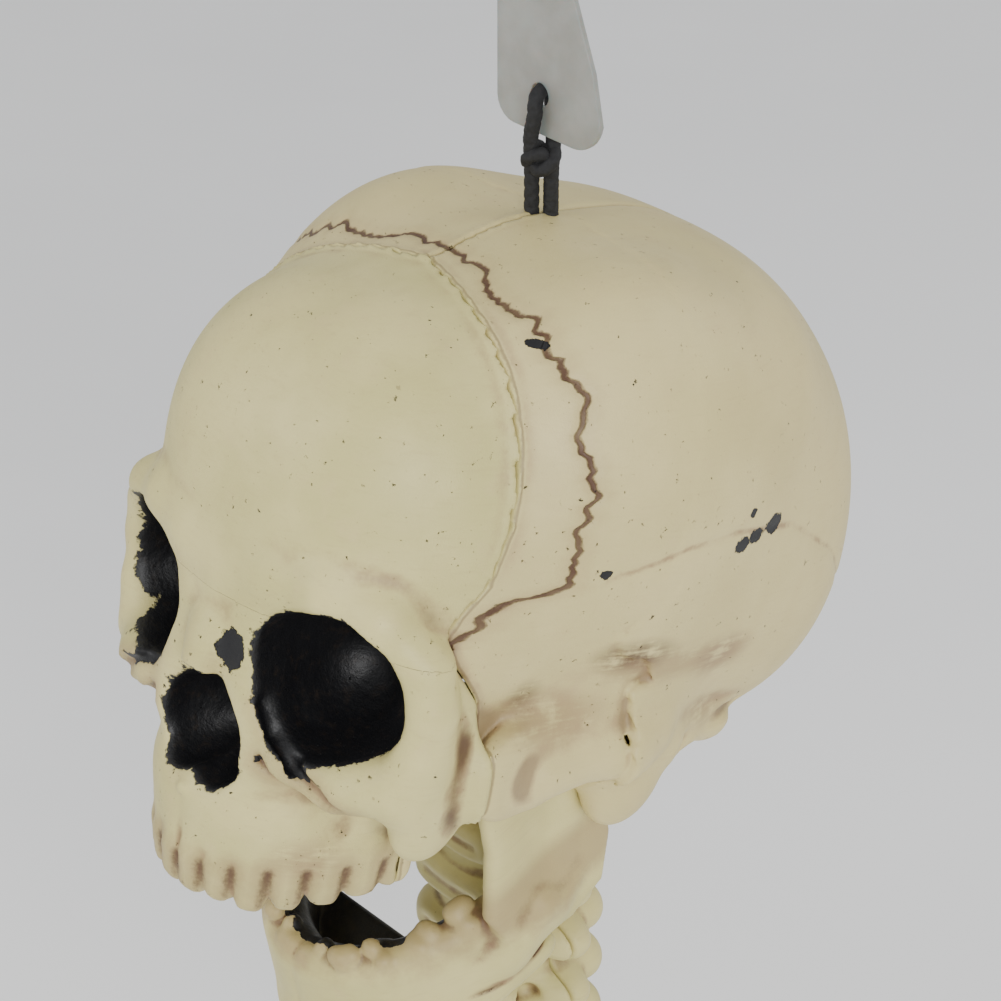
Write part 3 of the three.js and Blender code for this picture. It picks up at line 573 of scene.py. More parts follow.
# ---- meshes ------------------------------------------------------------------------------------------
def mesh_piece(name, field, matrix, body, nodes, relief, marks=None):
    """A finished piece from a field, with its places and marks stored on the points."""
    points, quads = field.surface()
    mesh = bpy.data.meshes.new(name)
    placed = points @ np.array(matrix.to_3x3()).T + np.array(matrix.translation)
    mesh.vertices.add(len(points))
    mesh.vertices.foreach_set("co", placed.astype(np.float32).ravel())
    mesh.loops.add(quads.size)
    mesh.loops.foreach_set("vertex_index", quads.astype(np.int32).ravel())
    mesh.polygons.add(len(quads))
    mesh.polygons.foreach_set("loop_start", np.arange(0, quads.size, 4, dtype=np.int32))
    mesh.polygons.foreach_set("use_smooth", np.ones(len(quads), bool))
    mesh.update(calc_edges=True)
    mesh.validate()
    made = bpy.data.objects.new(name, mesh)
    bpy.context.scene.collection.objects.link(made)
    turn_outward(made)
    store(mesh, "place", points)
    store(mesh, "hollows", relief(points))
    far = np.full(len(points), 40.0)
    # The paint attribute holds how deep a place is in black: real paint in the skull's hollows, painted shade inside
    # the jaw's mouth
    lines, paint, crease = marks(points) if marks else (np.stack([far] * 3, axis=1), -far, far)
    store(mesh, "lines", lines)
    store(mesh, "paint", np.stack([paint, crease, far], axis=1))
    finish_piece(made, body, nodes)
    return made


def relief_of(half):
    """How far places stand in hollows of a surface given by its x >= 0 half, at two sizes."""
    solid = half.mirrored()
    fine, broad = solid.blurred(2), solid.blurred(6)

    def relief(points):
        level = solid.sample(solid.values, points)
        near, far = (level - solid.sample(each, points) for each in (fine, broad))
        return np.stack([near, far, level], axis=1)

    return relief


def store(mesh, name, values):
    layer = mesh.attributes.new(name, "FLOAT_VECTOR", "POINT")
    layer.data.foreach_set("vector", np.asarray(values, np.float32).ravel())


def turn_outward(made):
    work = bmesh.new()
    work.from_mesh(made.data)
    if work.calc_volume(signed=True) < 0:
        bmesh.ops.reverse_faces(work, faces=work.faces)
    work.to_mesh(made.data)
    work.free()


def finish_piece(made, body, nodes):
    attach(made, body)
    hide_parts(*nodes)


def evaluated_piece(name, source, body, nodes):
    """A plain mesh of what an object's modifiers make, at the origin, with the source removed."""
    depsgraph = bpy.context.evaluated_depsgraph_get()
    mesh = bpy.data.meshes.new_from_object(source.evaluated_get(depsgraph))
    mesh.transform(source.matrix_world)
    bpy.data.objects.remove(source)
    if not mesh.polygons:
        raise RuntimeError(name + " came out empty")
    mesh.name = name
    made = bpy.data.objects.new(name, mesh)
    bpy.context.scene.collection.objects.link(made)
    turn_outward(made)
    finish_piece(made, body, nodes)
    return made


# ---- materials ---------------------------------------------------------------------------------------
class Socket:
    """A shader value that can be added, multiplied and so on."""

    def __init__(self, build, socket):
        self.build, self.socket = build, socket

    def _math(self, operation, *others, clamp=False):
        settings = {"operation": operation, "use_clamp": clamp}
        return self.build.node("ShaderNodeMath", settings, dict(enumerate(others)))

    def __add__(self, other):
        return self._math("ADD", self, other)

    __radd__ = __add__

    def __sub__(self, other):
        return self._math("SUBTRACT", self, other)

    def __rsub__(self, other):
        return self._math("SUBTRACT", other, self)

    def __mul__(self, other):
        return self._math("MULTIPLY", self, other)

    __rmul__ = __mul__

    def __truediv__(self, other):
        return self._math("DIVIDE", self, other)

    def __rtruediv__(self, other):
        return self._math("DIVIDE", other, self)

    def __neg__(self):
        return self._math("MULTIPLY", self, -1.0)

    def __abs__(self):
        return self._math("ABSOLUTE", self)

    def larger(self, other):
        return self._math("MAXIMUM", self, other)

    def sine(self):
        return self._math("SINE", self)

    def ramp(self, low, high):
        """0 at low and 1 at high, smooth between; low may be above high."""
        inputs = {"Value": self, "From Min": low, "From Max": high}
        return self.build.node("ShaderNodeMapRange", {"interpolation_type": "SMOOTHSTEP"}, inputs, "Result")


class Shader:
    """A material's node tree, built by calls."""

    def __init__(self, name, **fixed):
        self.material = bpy.data.materials.new(name)
        self.material.use_nodes = True
        self.tree = self.material.node_tree
        self.surface = self.tree.nodes["Principled BSDF"]
        for key, value in fixed.items():
            self.surface.inputs[key.replace("_", " ")].default_value = value

    def node(self, kind, settings=None, inputs=None, output=0):
        made = self.tree.nodes.new(kind)
        for key, value in (settings or {}).items():
            setattr(made, key, value)
        for key, value in (inputs or {}).items():
            if isinstance(value, Socket):
                self.tree.links.new(value.socket, made.inputs[key])
            else:
                made.inputs[key].default_value = value
        return Socket(self, made.outputs[output])

    def attribute(self, name):
        return self.node("ShaderNodeAttribute", {"attribute_name": name}, {}, "Vector")

    def parts(self, vector):
        made = self.tree.nodes.new("ShaderNodeSeparateXYZ")
        self.tree.links.new(vector.socket, made.inputs[0])
        return [Socket(self, out) for out in made.outputs]

    def scaled(self, vector, by):
        return self.node("ShaderNodeVectorMath", {"operation": "MULTIPLY"}, {0: vector, 1: by})

    def noise(self, vector, scale, detail=3.0, rough=0.5):
        inputs = {"Vector": vector, "Scale": scale, "Detail": detail, "Roughness": rough}
        return self.node("ShaderNodeTexNoise", {}, inputs, "Fac")

    def mix(self, share, a, b):
        made = self.tree.nodes.new("ShaderNodeMix")
        made.data_type = "RGBA"
        for key, value in ((0, share), (6, a), (7, b)):
            if isinstance(value, Socket):
                self.tree.links.new(value.socket, made.inputs[key])
            else:
                made.inputs[key].default_value = value
        return Socket(self, made.outputs[2])

    def near(self, place, centre, radii):
        """1 in an ellipsoid's middle and 0 from its surface out, with its mirror image left out."""
        moved = self.node("ShaderNodeVectorMath", {"operation": "SUBTRACT"}, {0: place, 1: centre})
        local = self.scaled(moved, tuple(1 / r for r in radii))
        reach = self.node("ShaderNodeVectorMath", {"operation": "LENGTH"}, {0: local}, "Value")
        return reach.ramp(1.0, 0.2)

    def finish(self, base, roughness, height=None, depth=0.0005):
        links = self.tree.links
        links.new(base.socket, self.surface.inputs["Base Color"])
        links.new(roughness.socket, self.surface.inputs["Roughness"])
        if height is not None:
            bump = self.node("ShaderNodeBump", {}, {"Height": height, "Distance": depth, "Strength": 1.0})
            links.new(bump.socket, self.surface.inputs["Normal"])
        return self.material


CREAM = (0.62, 0.545, 0.235, 1)
OLIVE_CREAM = (0.52, 0.465, 0.185, 1)
PINK_CREAM = (0.60, 0.47, 0.24, 1)
BROWN_WASH = (0.08, 0.036, 0.016, 1)
TAN_WASH = (0.27, 0.165, 0.082, 1)
# Black of the painted sockets, nose and chips, and also the painted shade inside the jaw's mouth
BLACK_PAINT_AND_SHADE = (0.0045, 0.0045, 0.0055, 1)


def bone_material(name, wash=1.0, skull=False, jaw=False):
    """Cream plastic with brown wash in the hollows and, on the skull, painted sockets and lines; on the jaw, black
    painted shade inside the mouth.
    """
    shader = Shader(name, Specular_IOR_Level=0.42)
    place = shader.attribute("place")
    fine, broad, _ = shader.parts(shader.attribute("hollows"))
    seam, suture, squamous = shader.parts(shader.attribute("lines"))
    blotch = shader.noise(place, 0.028, 3, 0.55)
    patch = shader.noise(place, 0.11, 5, 0.62)
    grain = shader.noise(place, 0.9, 4, 0.6)
    streak = shader.noise(shader.scaled(place, (0.5, 0.12, 1.6)), 0.5, 4, 0.6)
    colour = shader.mix(blotch.ramp(0.35, 0.65), CREAM, OLIVE_CREAM)
    colour = shader.mix(patch.ramp(0.5, 0.8) * 0.35, colour, PINK_CREAM)
    colour = shader.mix(streak.ramp(0.5, 0.75) * 0.1, colour, TAN_WASH)
    low = (fine + (patch - 0.5) * 0.22 + (grain - 0.5) * 0.1).ramp(0.02, 0.32)
    wide = (broad + (patch - 0.5) * 1.2).ramp(0.3, 1.9)
    colour = shader.mix((low * 0.6 + wide * 0.3) * (0.45 + patch.ramp(0.4, 0.62) * 0.6) * wash, colour, TAN_WASH)
    colour = shader.mix((fine + (grain - 0.5) * 0.12).ramp(0.22, 0.75) * 0.9 * wash, colour, BROWN_WASH)
    specks = shader.noise(place, 0.42, 2, 0.5).ramp(0.76, 0.79) * 0.35
    colour = shader.mix(specks, colour, BROWN_WASH)
    height = grain * 0.12 + shader.noise(place, 2.4, 3) * 0.08 + patch * 0.25
    roughness = 0.43 + patch * 0.16
    if skull:
        behind = seam.ramp(0.0, 1.0)
        colour = shader.mix(behind * 0.4, colour, PINK_CREAM)
        jitter = (grain - 0.5) * 1.0
        crack = abs(suture + jitter * 0.8).ramp(1.05, 0.35) * (0.6 + patch * 0.7)
        haze = abs(suture + jitter * 3).ramp(6.0, 0.5) * 0.22
        parting = abs(seam - 0.9 + jitter * 0.3).ramp(0.6, 0.1) * 0.5
        temple = abs(squamous + jitter * 1.6).ramp(1.1, 0.1) * (patch.ramp(0.42, 0.62)) * 0.55
        colour = shader.mix(haze + temple, colour, TAN_WASH)
        colour = shader.mix(crack + parting, colour, BROWN_WASH)
        for centre, radii, share in STAINS:
            mark = shader.near(place, centre, radii) * (patch + streak * 0.6).ramp(0.55, 0.85)
            colour = shader.mix(mark * share, colour, TAN_WASH if share < 0.8 else BROWN_WASH)
        for centre, radii in CHIPS:
            edge = shader.near(place, centre, radii) + (shader.noise(place, 0.45, 4, 0.7) - 0.5) * 1.5
            colour = shader.mix(edge.ramp(0.3, 0.36), colour, BLACK_PAINT_AND_SHADE)
            height = height - edge.ramp(0.25, 0.45) * 1.2
        height = height - crack * 0.9
    if jaw:
        rise = shader.parts(place)[2]
        gum = (rise + (patch - 0.5) * 14).ramp(-57, -48) * (1 - rise.ramp(-38, -30)) * 0.55
        colour = shader.mix(gum, colour, TAN_WASH)
        colour = shader.mix(gum * (fine + (grain - 0.5) * 0.2).ramp(-0.1, 0.3), colour, BROWN_WASH)
    if skull or jaw:
        depth, crease, _ = shader.parts(shader.attribute("paint"))
        dirt = (crease + (grain - 0.5) * 2.2).ramp(2.6, 0.3)
        colour = shader.mix((crease + (patch - 0.5) * 8).ramp(8, 1.5) * 0.5, colour, TAN_WASH)
        colour = shader.mix(dirt * 0.85, colour, BROWN_WASH)
        # Black in the skull's sockets and nose is the real black paint; on the jaw the same black is painted shade for
        # the dark inside of the mouth
        ragged = depth + (shader.noise(place, 0.26, 3, 0.6) - 0.5) * 2.6 + (grain - 0.5) * 0.5
        painted = ragged.ramp(0.45, 0.7)
        dust = shader.noise(place, 0.3, 5, 0.7).ramp(0.5, 0.8) * 0.06
        colour = shader.mix(painted, colour, shader.mix(dust, BLACK_PAINT_AND_SHADE, TAN_WASH))
        roughness = roughness - painted * 0.05
        height = height + painted * (0.3 + 0.8 * patch)
    return shader.finish(colour, roughness, height, 0.0006)


STAINS = (
    ((63, -40, 14), (14, 9, 9), 0.85),
    ((66, -11, 25), (12, 17, 8), 0.9),
    ((65, 24, 18), (14, 15, 10), 0.7),
    ((60, -30, 8), (12, 24, 10), 0.6),
    ((66, 4, 20), (14, 40, 8), 0.5),
    ((0, -95, 14), (13, 10, 9), 0.4),
    ((21, -87, -6), (9, 8, 14), 0.6),
    ((-20, -89, -4), (8, 8, 13), 0.6),
    ((28, -78, -36), (16, 14, 9), 0.55),
    ((48, -66, -18), (10, 12, 7), 0.4),
    ((50, 30, -4), (14, 26, 10), 0.6),
)
CHIPS = (
    ((70, 15, 54.5), (8, 4.6, 3.4)),
    ((69, 21, 55.5), (8, 5, 2.8)),
    ((68, 29, 57), (8, 5.4, 4.4)),
    ((70, 17, 63), (8, 1.9, 1.9)),
    ((66, -29.5, 52), (8, 2.5, 2.0)),
    ((42, -41, 105), (5, 5, 1.4)),
    ((9.5, -96, 18), (5.5, 8, 8)),
)


def plain_material(name, colour, second, roughness, scale, **fixed):
    """One colour broken up by a second, with a fine grain."""
    shader = Shader(name, **fixed)
    place = shader.node("ShaderNodeTexCoord", {}, {}, "Object")
    patch = shader.noise(place, scale, 4, 0.6)
    fine = shader.noise(place, scale * 9, 3)
    base = shader.mix(patch.ramp(0.3, 0.7), colour, second)
    return shader.finish(base, roughness + patch * 0.12, fine + patch * 0.6, 0.00008)


# ---- the cord and its tab ----------------------------------------------------------------------------
CORD_RADIUS = 1.9
CORD_HEADING = math.radians(45)
ROUTE = ((-2.5, -13.8), (-2.5, 0), (-2.5, 10.4))


def strand(side, height):
    return (side * math.cos(CORD_HEADING), side * math.sin(CORD_HEADING), height)


def cord_route():
    """The cord's points in metres, from the stop knot up through the tab and down again."""
    up = [strand(*p) for p in ROUTE]
    over = [(-1.7, -1.9, 14.4), (-1.2, -2.6, 19.4), (-0.6, -3.2, 23.4), (0.9, -3.3, 29.5),
            (0.9, -2.9, 33.6), (0.3, -0.9, 35.2), (0, 0.9, 35.2), (0, 2.9, 33.6), (0.3, 3.3, 29.5),
            (0.9, 3.2, 23.4), (1.5, 2.6, 19.4), (1.8, 1.9, 14.4)]
    down = [strand(-side, height) for side, height in reversed(ROUTE)]
    exit_z = TAB_HOLE.z - TAB_HOLE_ABOVE_EXIT * MM
    return [Vector((x, y, z)) * MM + Vector((0, 0, exit_z)) for x, y, z in up + over + down]


def smooth_path(points, per_span, closed=False):
    """A Catmull-Rom curve through the points, with its knots spaced by the root of each gap."""
    count = len(points)
    ends = points if closed else [points[0] * 2 - points[1], *points, points[-1] * 2 - points[-2]]
    found = []
    for i in range(count if closed else count - 1):
        if closed:
            a, b, c, d = (points[(i + k - 1) % count] for k in range(4))
        else:
            a, b, c, d = ends[i : i + 4]
        t1 = max((b - a).length, 1e-9) ** 0.5
        t2 = t1 + max((c - b).length, 1e-9) ** 0.5
        t3 = t2 + max((d - c).length, 1e-9) ** 0.5
        for step in range(per_span):
            t = t1 + (t2 - t1) * step / per_span
            ab, bc, cd = a.lerp(b, t / t1), b.lerp(c, (t - t1) / (t2 - t1)), c.lerp(d, (t - t2) / (t3 - t2))
            abc, bcd = ab.lerp(bc, t / t2), bc.lerp(cd, (t - t1) / (t3 - t1))
            found.append(abc.lerp(bcd, (t - t1) / (t2 - t1)))
    return found if closed else [*found, points[-1]]


def braid_tree(material):
    """Geometry nodes that turn a curve into a braided cord."""
    tree = bpy.data.node_groups.new("braided_cord", "GeometryNodeTree")
    face = tree.interface
    face.new_socket("Geometry", in_out="OUTPUT", socket_type="NodeSocketGeometry")
    face.new_socket("Curve", in_out="INPUT", socket_type="NodeSocketGeometry")
    for name, value in (("Radius", CORD_RADIUS * MM), ("Step", 0.0004), ("Depth", 0.00016), ("Pitch", 0.0032)):
        face.new_socket(name, in_out="INPUT", socket_type="NodeSocketFloat").default_value = value
    entry, leave = tree.nodes.new("NodeGroupInput"), tree.nodes.new("NodeGroupOutput")

    def node(kind, inputs, output=0, **settings):
        made = tree.nodes.new(kind)
        for key, value in settings.items():
            setattr(made, key, value)
        for key, value in inputs.items():
            if hasattr(value, "is_output"):
                tree.links.new(value, made.inputs[key])
            else:
                made.inputs[key].default_value = value
        return made.outputs[output]

    def maths(operation, *values):
        return node("ShaderNodeMath", dict(enumerate(values)), operation=operation)

    line = tree.nodes.new("GeometryNodeResampleCurve")
    line.mode = "LENGTH"
    tree.links.new(entry.outputs["Curve"], line.inputs["Curve"])
    tree.links.new(entry.outputs["Step"], line.inputs["Length"])
    along = tree.nodes.new("GeometryNodeSplineParameter").outputs["Length"]
    kept = tree.nodes.new("GeometryNodeCaptureAttribute")
    kept.capture_items.new("FLOAT", "along")
    tree.links.new(line.outputs[0], kept.inputs[0])
    tree.links.new(along, kept.inputs[1])
    ring = node("GeometryNodeCurvePrimitiveCircle", {"Resolution": 26, "Radius": entry.outputs["Radius"]})
    around = tree.nodes.new("GeometryNodeCaptureAttribute")
    around.capture_items.new("FLOAT", "around")
    turn = tree.nodes.new("GeometryNodeSplineParameter").outputs["Factor"]
    tree.links.new(ring, around.inputs[0])
    tree.links.new(turn, around.inputs[1])
    tube = node("GeometryNodeCurveToMesh", {"Curve": kept.outputs[0], "Profile Curve": around.outputs[0], "Fill Caps": True})
    steps = maths("MULTIPLY", maths("DIVIDE", kept.outputs[1], entry.outputs["Pitch"]), math.tau)
    angle = maths("MULTIPLY", around.outputs[1], math.tau * 3)
    left = maths("SINE", maths("ADD", steps, angle))
    right = maths("SINE", maths("SUBTRACT", steps, angle))
    height = maths("MULTIPLY", maths("MAXIMUM", left, right), entry.outputs["Depth"])
    normal = tree.nodes.new("GeometryNodeInputNormal").outputs[0]
    offset = node("ShaderNodeVectorMath", {0: normal, "Scale": height}, operation="SCALE")
    shaped = node("GeometryNodeSetPosition", {"Geometry": tube, "Offset": offset})
    smooth = node("GeometryNodeSetShadeSmooth", {"Geometry": shaped})
    real = node("GeometryNodeRealizeInstances", {"Geometry": smooth})
    painted = node("GeometryNodeSetMaterial", {"Geometry": real, "Material": material})
    tree.links.new(painted, leave.inputs[0])
    return tree


def braided(name, points, closed, body, nodes, radius, tree):
    """A braided cord along the points, in metres."""
    data = bpy.data.curves.new(name, "CURVE")
    data.dimensions = "3D"
    spline = data.splines.new("POLY")
    spline.points.add(len(points) - 1)
    for point, place in zip(spline.points, points):
        point.co = (*place, 1)
    spline.use_cyclic_u = closed
    source = bpy.data.objects.new(name + "_path", data)
    bpy.context.scene.collection.objects.link(source)
    modifier = source.modifiers.new("braid", "NODES")
    modifier.node_group = tree
    for item in tree.interface.items_tree:
        if item.item_type == "SOCKET" and item.in_out == "INPUT" and item.name == "Radius":
            modifier[item.identifier] = radius * MM
    bpy.context.view_layer.update()
    return evaluated_piece(name, source, body, nodes)


def knot_points(centre, half, height, turns=3):
    """A closed loop that winds through itself like a drawn-up knot."""
    found = []
    for step in range(96):
        t = math.tau * step / 96
        reach = half * (0.52 + 0.2 * math.cos(turns * t))
        found.append(
            centre + Vector((reach * math.cos(2 * t), reach * math.sin(2 * t), height * 0.55 * math.sin(turns * t))) * MM
        )
    return found


def half_thickness_of(node, axis):
    low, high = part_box(node)
    return (high[axis] - low[axis]) / 2


# ---- settings ----------------------------------------------------------------------------------------
class SkullSettings(bpy.types.PropertyGroup):
    wall: FloatProperty(name="Wall", description="Thickness of the mouldings", default=0.003, min=0.002, unit="LENGTH")
    wash: FloatProperty(name="Wash", description="Strength of the brown wash", default=1.0, min=0, max=2, subtype="FACTOR")


class JawSettings(bpy.types.PropertyGroup):
    wash: FloatProperty(name="Wash", description="Strength of the brown wash", default=1.5, min=0, max=2, subtype="FACTOR")


class NeckSettings(bpy.types.PropertyGroup):
    parting: FloatProperty(name="Parting", description="Gap between the halves", default=0.0003, min=0, unit="LENGTH")
    wash: FloatProperty(name="Wash", description="Strength of the brown wash", default=1.3, min=0, max=2, subtype="FACTOR")


class CordSettings(bpy.types.PropertyGroup):
    radius: FloatProperty(name="Radius", description="Radius of the braided cord", default=0.0019, min=0.001, unit="LENGTH")


class TabSettings(bpy.types.PropertyGroup):
    corner: FloatProperty(name="Edge", description="Rounding of the tab's edges", default=0.0003, min=0, unit="LENGTH")


class HardwareSettings(bpy.types.PropertyGroup):
    bevel: FloatProperty(name="Bevel", description="Rounding of moulded and turned edges", default=0.0003, min=0, unit="LENGTH")
    recess: FloatProperty(name="Recess", description="Width of a screw's cross recess", default=0.0009, min=0, unit="LENGTH")


class StageSettings(bpy.types.PropertyGroup):
    azimuth: FloatProperty(name="Azimuth", description="Heading of the camera", default=math.radians(48.22), subtype="ANGLE")
    elevation: FloatProperty(name="Elevation", description="Height of the camera", default=math.radians(30.45), subtype="ANGLE")
    distance: FloatProperty(name="Distance", description="Camera to skull", default=0.84385, min=0.1, unit="LENGTH")
    lens: FloatProperty(name="Lens", description="Focal length in millimetres", default=112.54, min=10)


class SkeletonHeadSettings(bpy.types.PropertyGroup):
    skull: PointerProperty(type=SkullSettings)
    jaw: PointerProperty(type=JawSettings)
    neck: PointerProperty(type=NeckSettings)
    cord: PointerProperty(type=CordSettings)
    tab: PointerProperty(type=TabSettings)
    hardware: PointerProperty(type=HardwareSettings)
    stage: PointerProperty(type=StageSettings)


# ---- pieces ------------------------------------------------------------------------------------------
def skull_marks(uncut):
    """What the skull's paint follows: its three lines, and how deep a place is in a painted hollow."""
    def marks(points):
        x, y, z = points.T
        suture = line_gap(CORONAL_SUTURE, x, y, z) + wander(x, y, z) + 40 * (z < 31)
        lines = np.stack([line_gap(FACE_SEAM, x, y, z), suture, squamous_gap(x, y, z)], axis=1)
        side = np.abs(x)
        hollow = np.minimum(ORBIT[2](side, y, z), ORBIT_BACK[2](side, y, z))
        for shape in NOSE_HOLLOWS:
            hollow = np.minimum(hollow, shape[2](side, y, z))
        depth = -uncut.sample(uncut.values, points)
        return lines, np.where(hollow < 6.0, np.minimum(depth, 9), -9), crease_gap(x, y, z)

    return marks


def build_skull(settings):
    half, uncut_half = sculpt_skull()
    shell = half.copy(np.maximum(half.values, -(half.values + settings.wall / MM)))
    skull_neck_room(shell)
    solid, uncut = shell.mirrored(), uncut_half.mirrored()
    x, y, z = solid.grid()
    behind = line_gap(FACE_SEAM, x, y, z)
    marks, relief = skull_marks(uncut), relief_of(half)
    material = bone_material("skull_plastic", settings.wash, skull=True)
    pieces = (
        ("face_moulding", 0.15 + behind, "face_shell"),
        ("left_cranium_moulding", np.maximum(0.15 - behind, 0.15 - x), "cranium_left_shell"),
        ("right_cranium_moulding", np.maximum(0.15 - behind, 0.15 + x), "cranium_right_shell"),
    )
    for name, limit, node in pieces:
        part = solid.copy(np.maximum(solid.values, limit))
        made = mesh_piece(name, part, SKULL_TO_WORLD, "head", (node,), relief, marks)
        made.data.materials.append(material)


def jaw_marks(points):
    """The jaw's inside below its teeth, its floor web included, is painted black as painted shade for the dark inside
    of the mouth.
    """
    x, y, z = points.T
    inward = 1 - np.sqrt((x / (JAW["half_width"] * 0.97)) ** 2 + ((y - JAW["y"]) / (JAW["length"] * 0.97)) ** 2)
    inside = np.where((y < -12) & (np.abs(x) < 42), inward * 45, -9)
    far = np.full(len(points), 40.0)
    return np.stack([far] * 3, axis=1), np.minimum(inside, (JAW["front_z"] + 4 - z) * 0.6 + 1), far


def build_jaw(settings):
    half = sculpt_jaw()
    made = mesh_piece("jaw_moulding", half.mirrored(), JAW_TO_WORLD, "lower_jaw", ("jaw",), relief_of(half), jaw_marks)
    made.data.materials.append(bone_material("jaw_plastic", settings.wash, jaw=True))


def build_neck(settings):
    half_neck = sculpt_neck()
    whole, relief = half_neck.mirrored(), relief_of(half_neck)
    y = whole.grid()[1]
    material = bone_material("neck_plastic", settings.wash)
    gap = settings.parting / MM / 2
    for name, limit, node in (
        ("neck_front_moulding", gap + y, "neck_front_shell"),
        ("neck_rear_moulding", gap - y, "neck_rear_shell"),
    ):
        half = whole.copy(np.maximum(whole.values, limit))
        made = mesh_piece(name, half, NECK_TO_WORLD, "neck", (node,), relief)
        made.data.materials.append(material)


def build_cord(settings):
    material = plain_material("black_cord", (0.006, 0.006, 0.007, 1), (0.014, 0.014, 0.015, 1), 0.78, 900)
    tree = braid_tree(material)
    route = smooth_path(cord_route(), 12)
    radius = settings.radius / MM
    for name, node, half in (("drawn_knot", "cord_knot", 5.2), ("stop_knot", "cord_stop_knot", 5.4)):
        low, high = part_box(node)
        height = (high[2] - low[2]) / MM
        loop = knot_points(box_middle(node), half, height - 2 * radius + 1.5)
        braided(name, loop, True, "head", (node,), radius * 0.92, tree)
    made = braided("braided_hanging_cord", route, False, "head", ("hanging_cord",), radius, tree)
    length = sum((b - a).length for a, b in zip(route, route[1:]))


def build_tab(settings):
    """The translucent tab: a flat outline with two holes and rounded edges."""
    low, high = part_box("hang_tab")
    left, right, bottom, top = (v / MM for v in (low[0], high[0], low[2], high[2]))
    data = bpy.data.curves.new("tab_outline", "CURVE")
    data.dimensions = "2D"
    data.fill_mode = "BOTH"
    data.bevel_depth = settings.corner
    data.bevel_resolution = 2
    data.extrude = (high[1] - low[1]) / 2 - settings.corner
    corner = 6.0
    edge = [(left + corner - corner * math.cos(a), bottom + corner - corner * math.sin(a)) for a in arc(0, 90, 6)]
    edge += [(right - 10 + 10 * math.sin(a), bottom + 10 - 10 * math.cos(a)) for a in arc(0, 80, 9)]
    edge += [(right - 3, bottom + 21.5), (8.1, top - 17.1)]
    edge += [(top * math.cos(a), top * math.sin(a)) for a in arc(-20, 180, 22)]
    edge += [(-top - 3, -7), (left, -19.8)]
    rings = [edge]
    for height, radius in ((TAB_HOLE.z / MM, 3.4), (0, 5.2)):
        rings.append([(radius * math.cos(a), height + radius * math.sin(a)) for a in arc(0, 350, 36)])
    for ring in rings:
        spline = data.splines.new("POLY")
        spline.points.add(len(ring) - 1)
        for point, (x, z) in zip(spline.points, ring):
            point.co = (x * MM, z * MM, 0, 1)
        spline.use_cyclic_u = True
    source = bpy.data.objects.new("tab_outline", data)
    source.rotation_euler = (math.pi / 2, 0, 0)
    bpy.context.scene.collection.objects.link(source)
    bpy.context.view_layer.update()
    made = evaluated_piece("frosted_tab", source, "hanger", ("hang_tab",))
    weld(made)
    material = plain_material("frosted_plastic", (0.27, 0.30, 0.285, 1), (0.36, 0.39, 0.375, 1), 0.3, 60)
    shader = material.node_tree.nodes["Principled BSDF"]
    shader.inputs["Transmission Weight"].default_value = 0.35
    shader.inputs["Subsurface Weight"].default_value = 0.2
    made.data.materials.clear()
    made.data.materials.append(material)


def arc(start, end, steps):
    return [math.radians(start + (end - start) * i / (steps - 1)) for i in range(steps)]


def weld(made):
    work = bmesh.new()
    work.from_mesh(made.data)
    bmesh.ops.remove_doubles(work, verts=work.verts, dist=1e-5)
    work.to_mesh(made.data)
    work.free()


def refined(name, node, body, material, settings, recess=None):
    """A frame node's shape with rounded edges and, on a screw's head, a cross recess."""
    source = bpy.data.objects[node].copy()
    source.data = source.data.copy()
    bpy.context.scene.collection.objects.link(source)
    source.data.materials.clear()
    source.data.materials.append(material)
    work = bmesh.new()
    work.from_mesh(source.data)
    bmesh.ops.remove_doubles(work, verts=work.verts, dist=1e-6)
    bmesh.ops.dissolve_limit(work, angle_limit=math.radians(2), verts=work.verts, edges=work.edges)
    work.to_mesh(source.data)
    work.free()
    cutter = None
    if recess:
        cutter = cross_cutter(recess, settings.recess)
        cutting = source.modifiers.new("recess", "BOOLEAN")
        cutting.object, cutting.solver, cutting.use_self = cutter, "EXACT", True
    bevel = source.modifiers.new("edges", "BEVEL")
    bevel.width, bevel.segments, bevel.limit_method = settings.bevel, 2, "ANGLE"
    bevel.angle_limit = math.radians(35)
    bevel.use_clamp_overlap = True
    bpy.context.view_layer.update()
    made = evaluated_piece(name, source, body, (node,))
    made.data.shade_smooth()
    made.data.set_sharp_from_angle(angle=math.radians(32))
    if cutter:
        bpy.data.objects.remove(cutter)
    return made


def cross_cutter(recess, width):
    """Two crossed blades that sink into a screw's head; recess is its place, axis and depth."""
    place, axis, depth = recess
    turn = Vector(axis).to_track_quat("Z", "Y").to_matrix().to_4x4()
    work = bmesh.new()
    for long_side in (0, 1):
        size = (5.2 * MM, width, 2 * depth) if long_side else (width, 5.2 * MM, 2 * depth)
        shape = Matrix.Translation(place) @ turn @ Matrix.Diagonal((*size, 1))
        bmesh.ops.create_cube(work, size=1, matrix=shape)
    mesh = bpy.data.meshes.new("recess")
    work.to_mesh(mesh)
    work.free()
    cutter = bpy.data.objects.new("recess", mesh)
    bpy.context.scene.collection.objects.link(cutter)
    cutter.hide_render = True
    return cutter


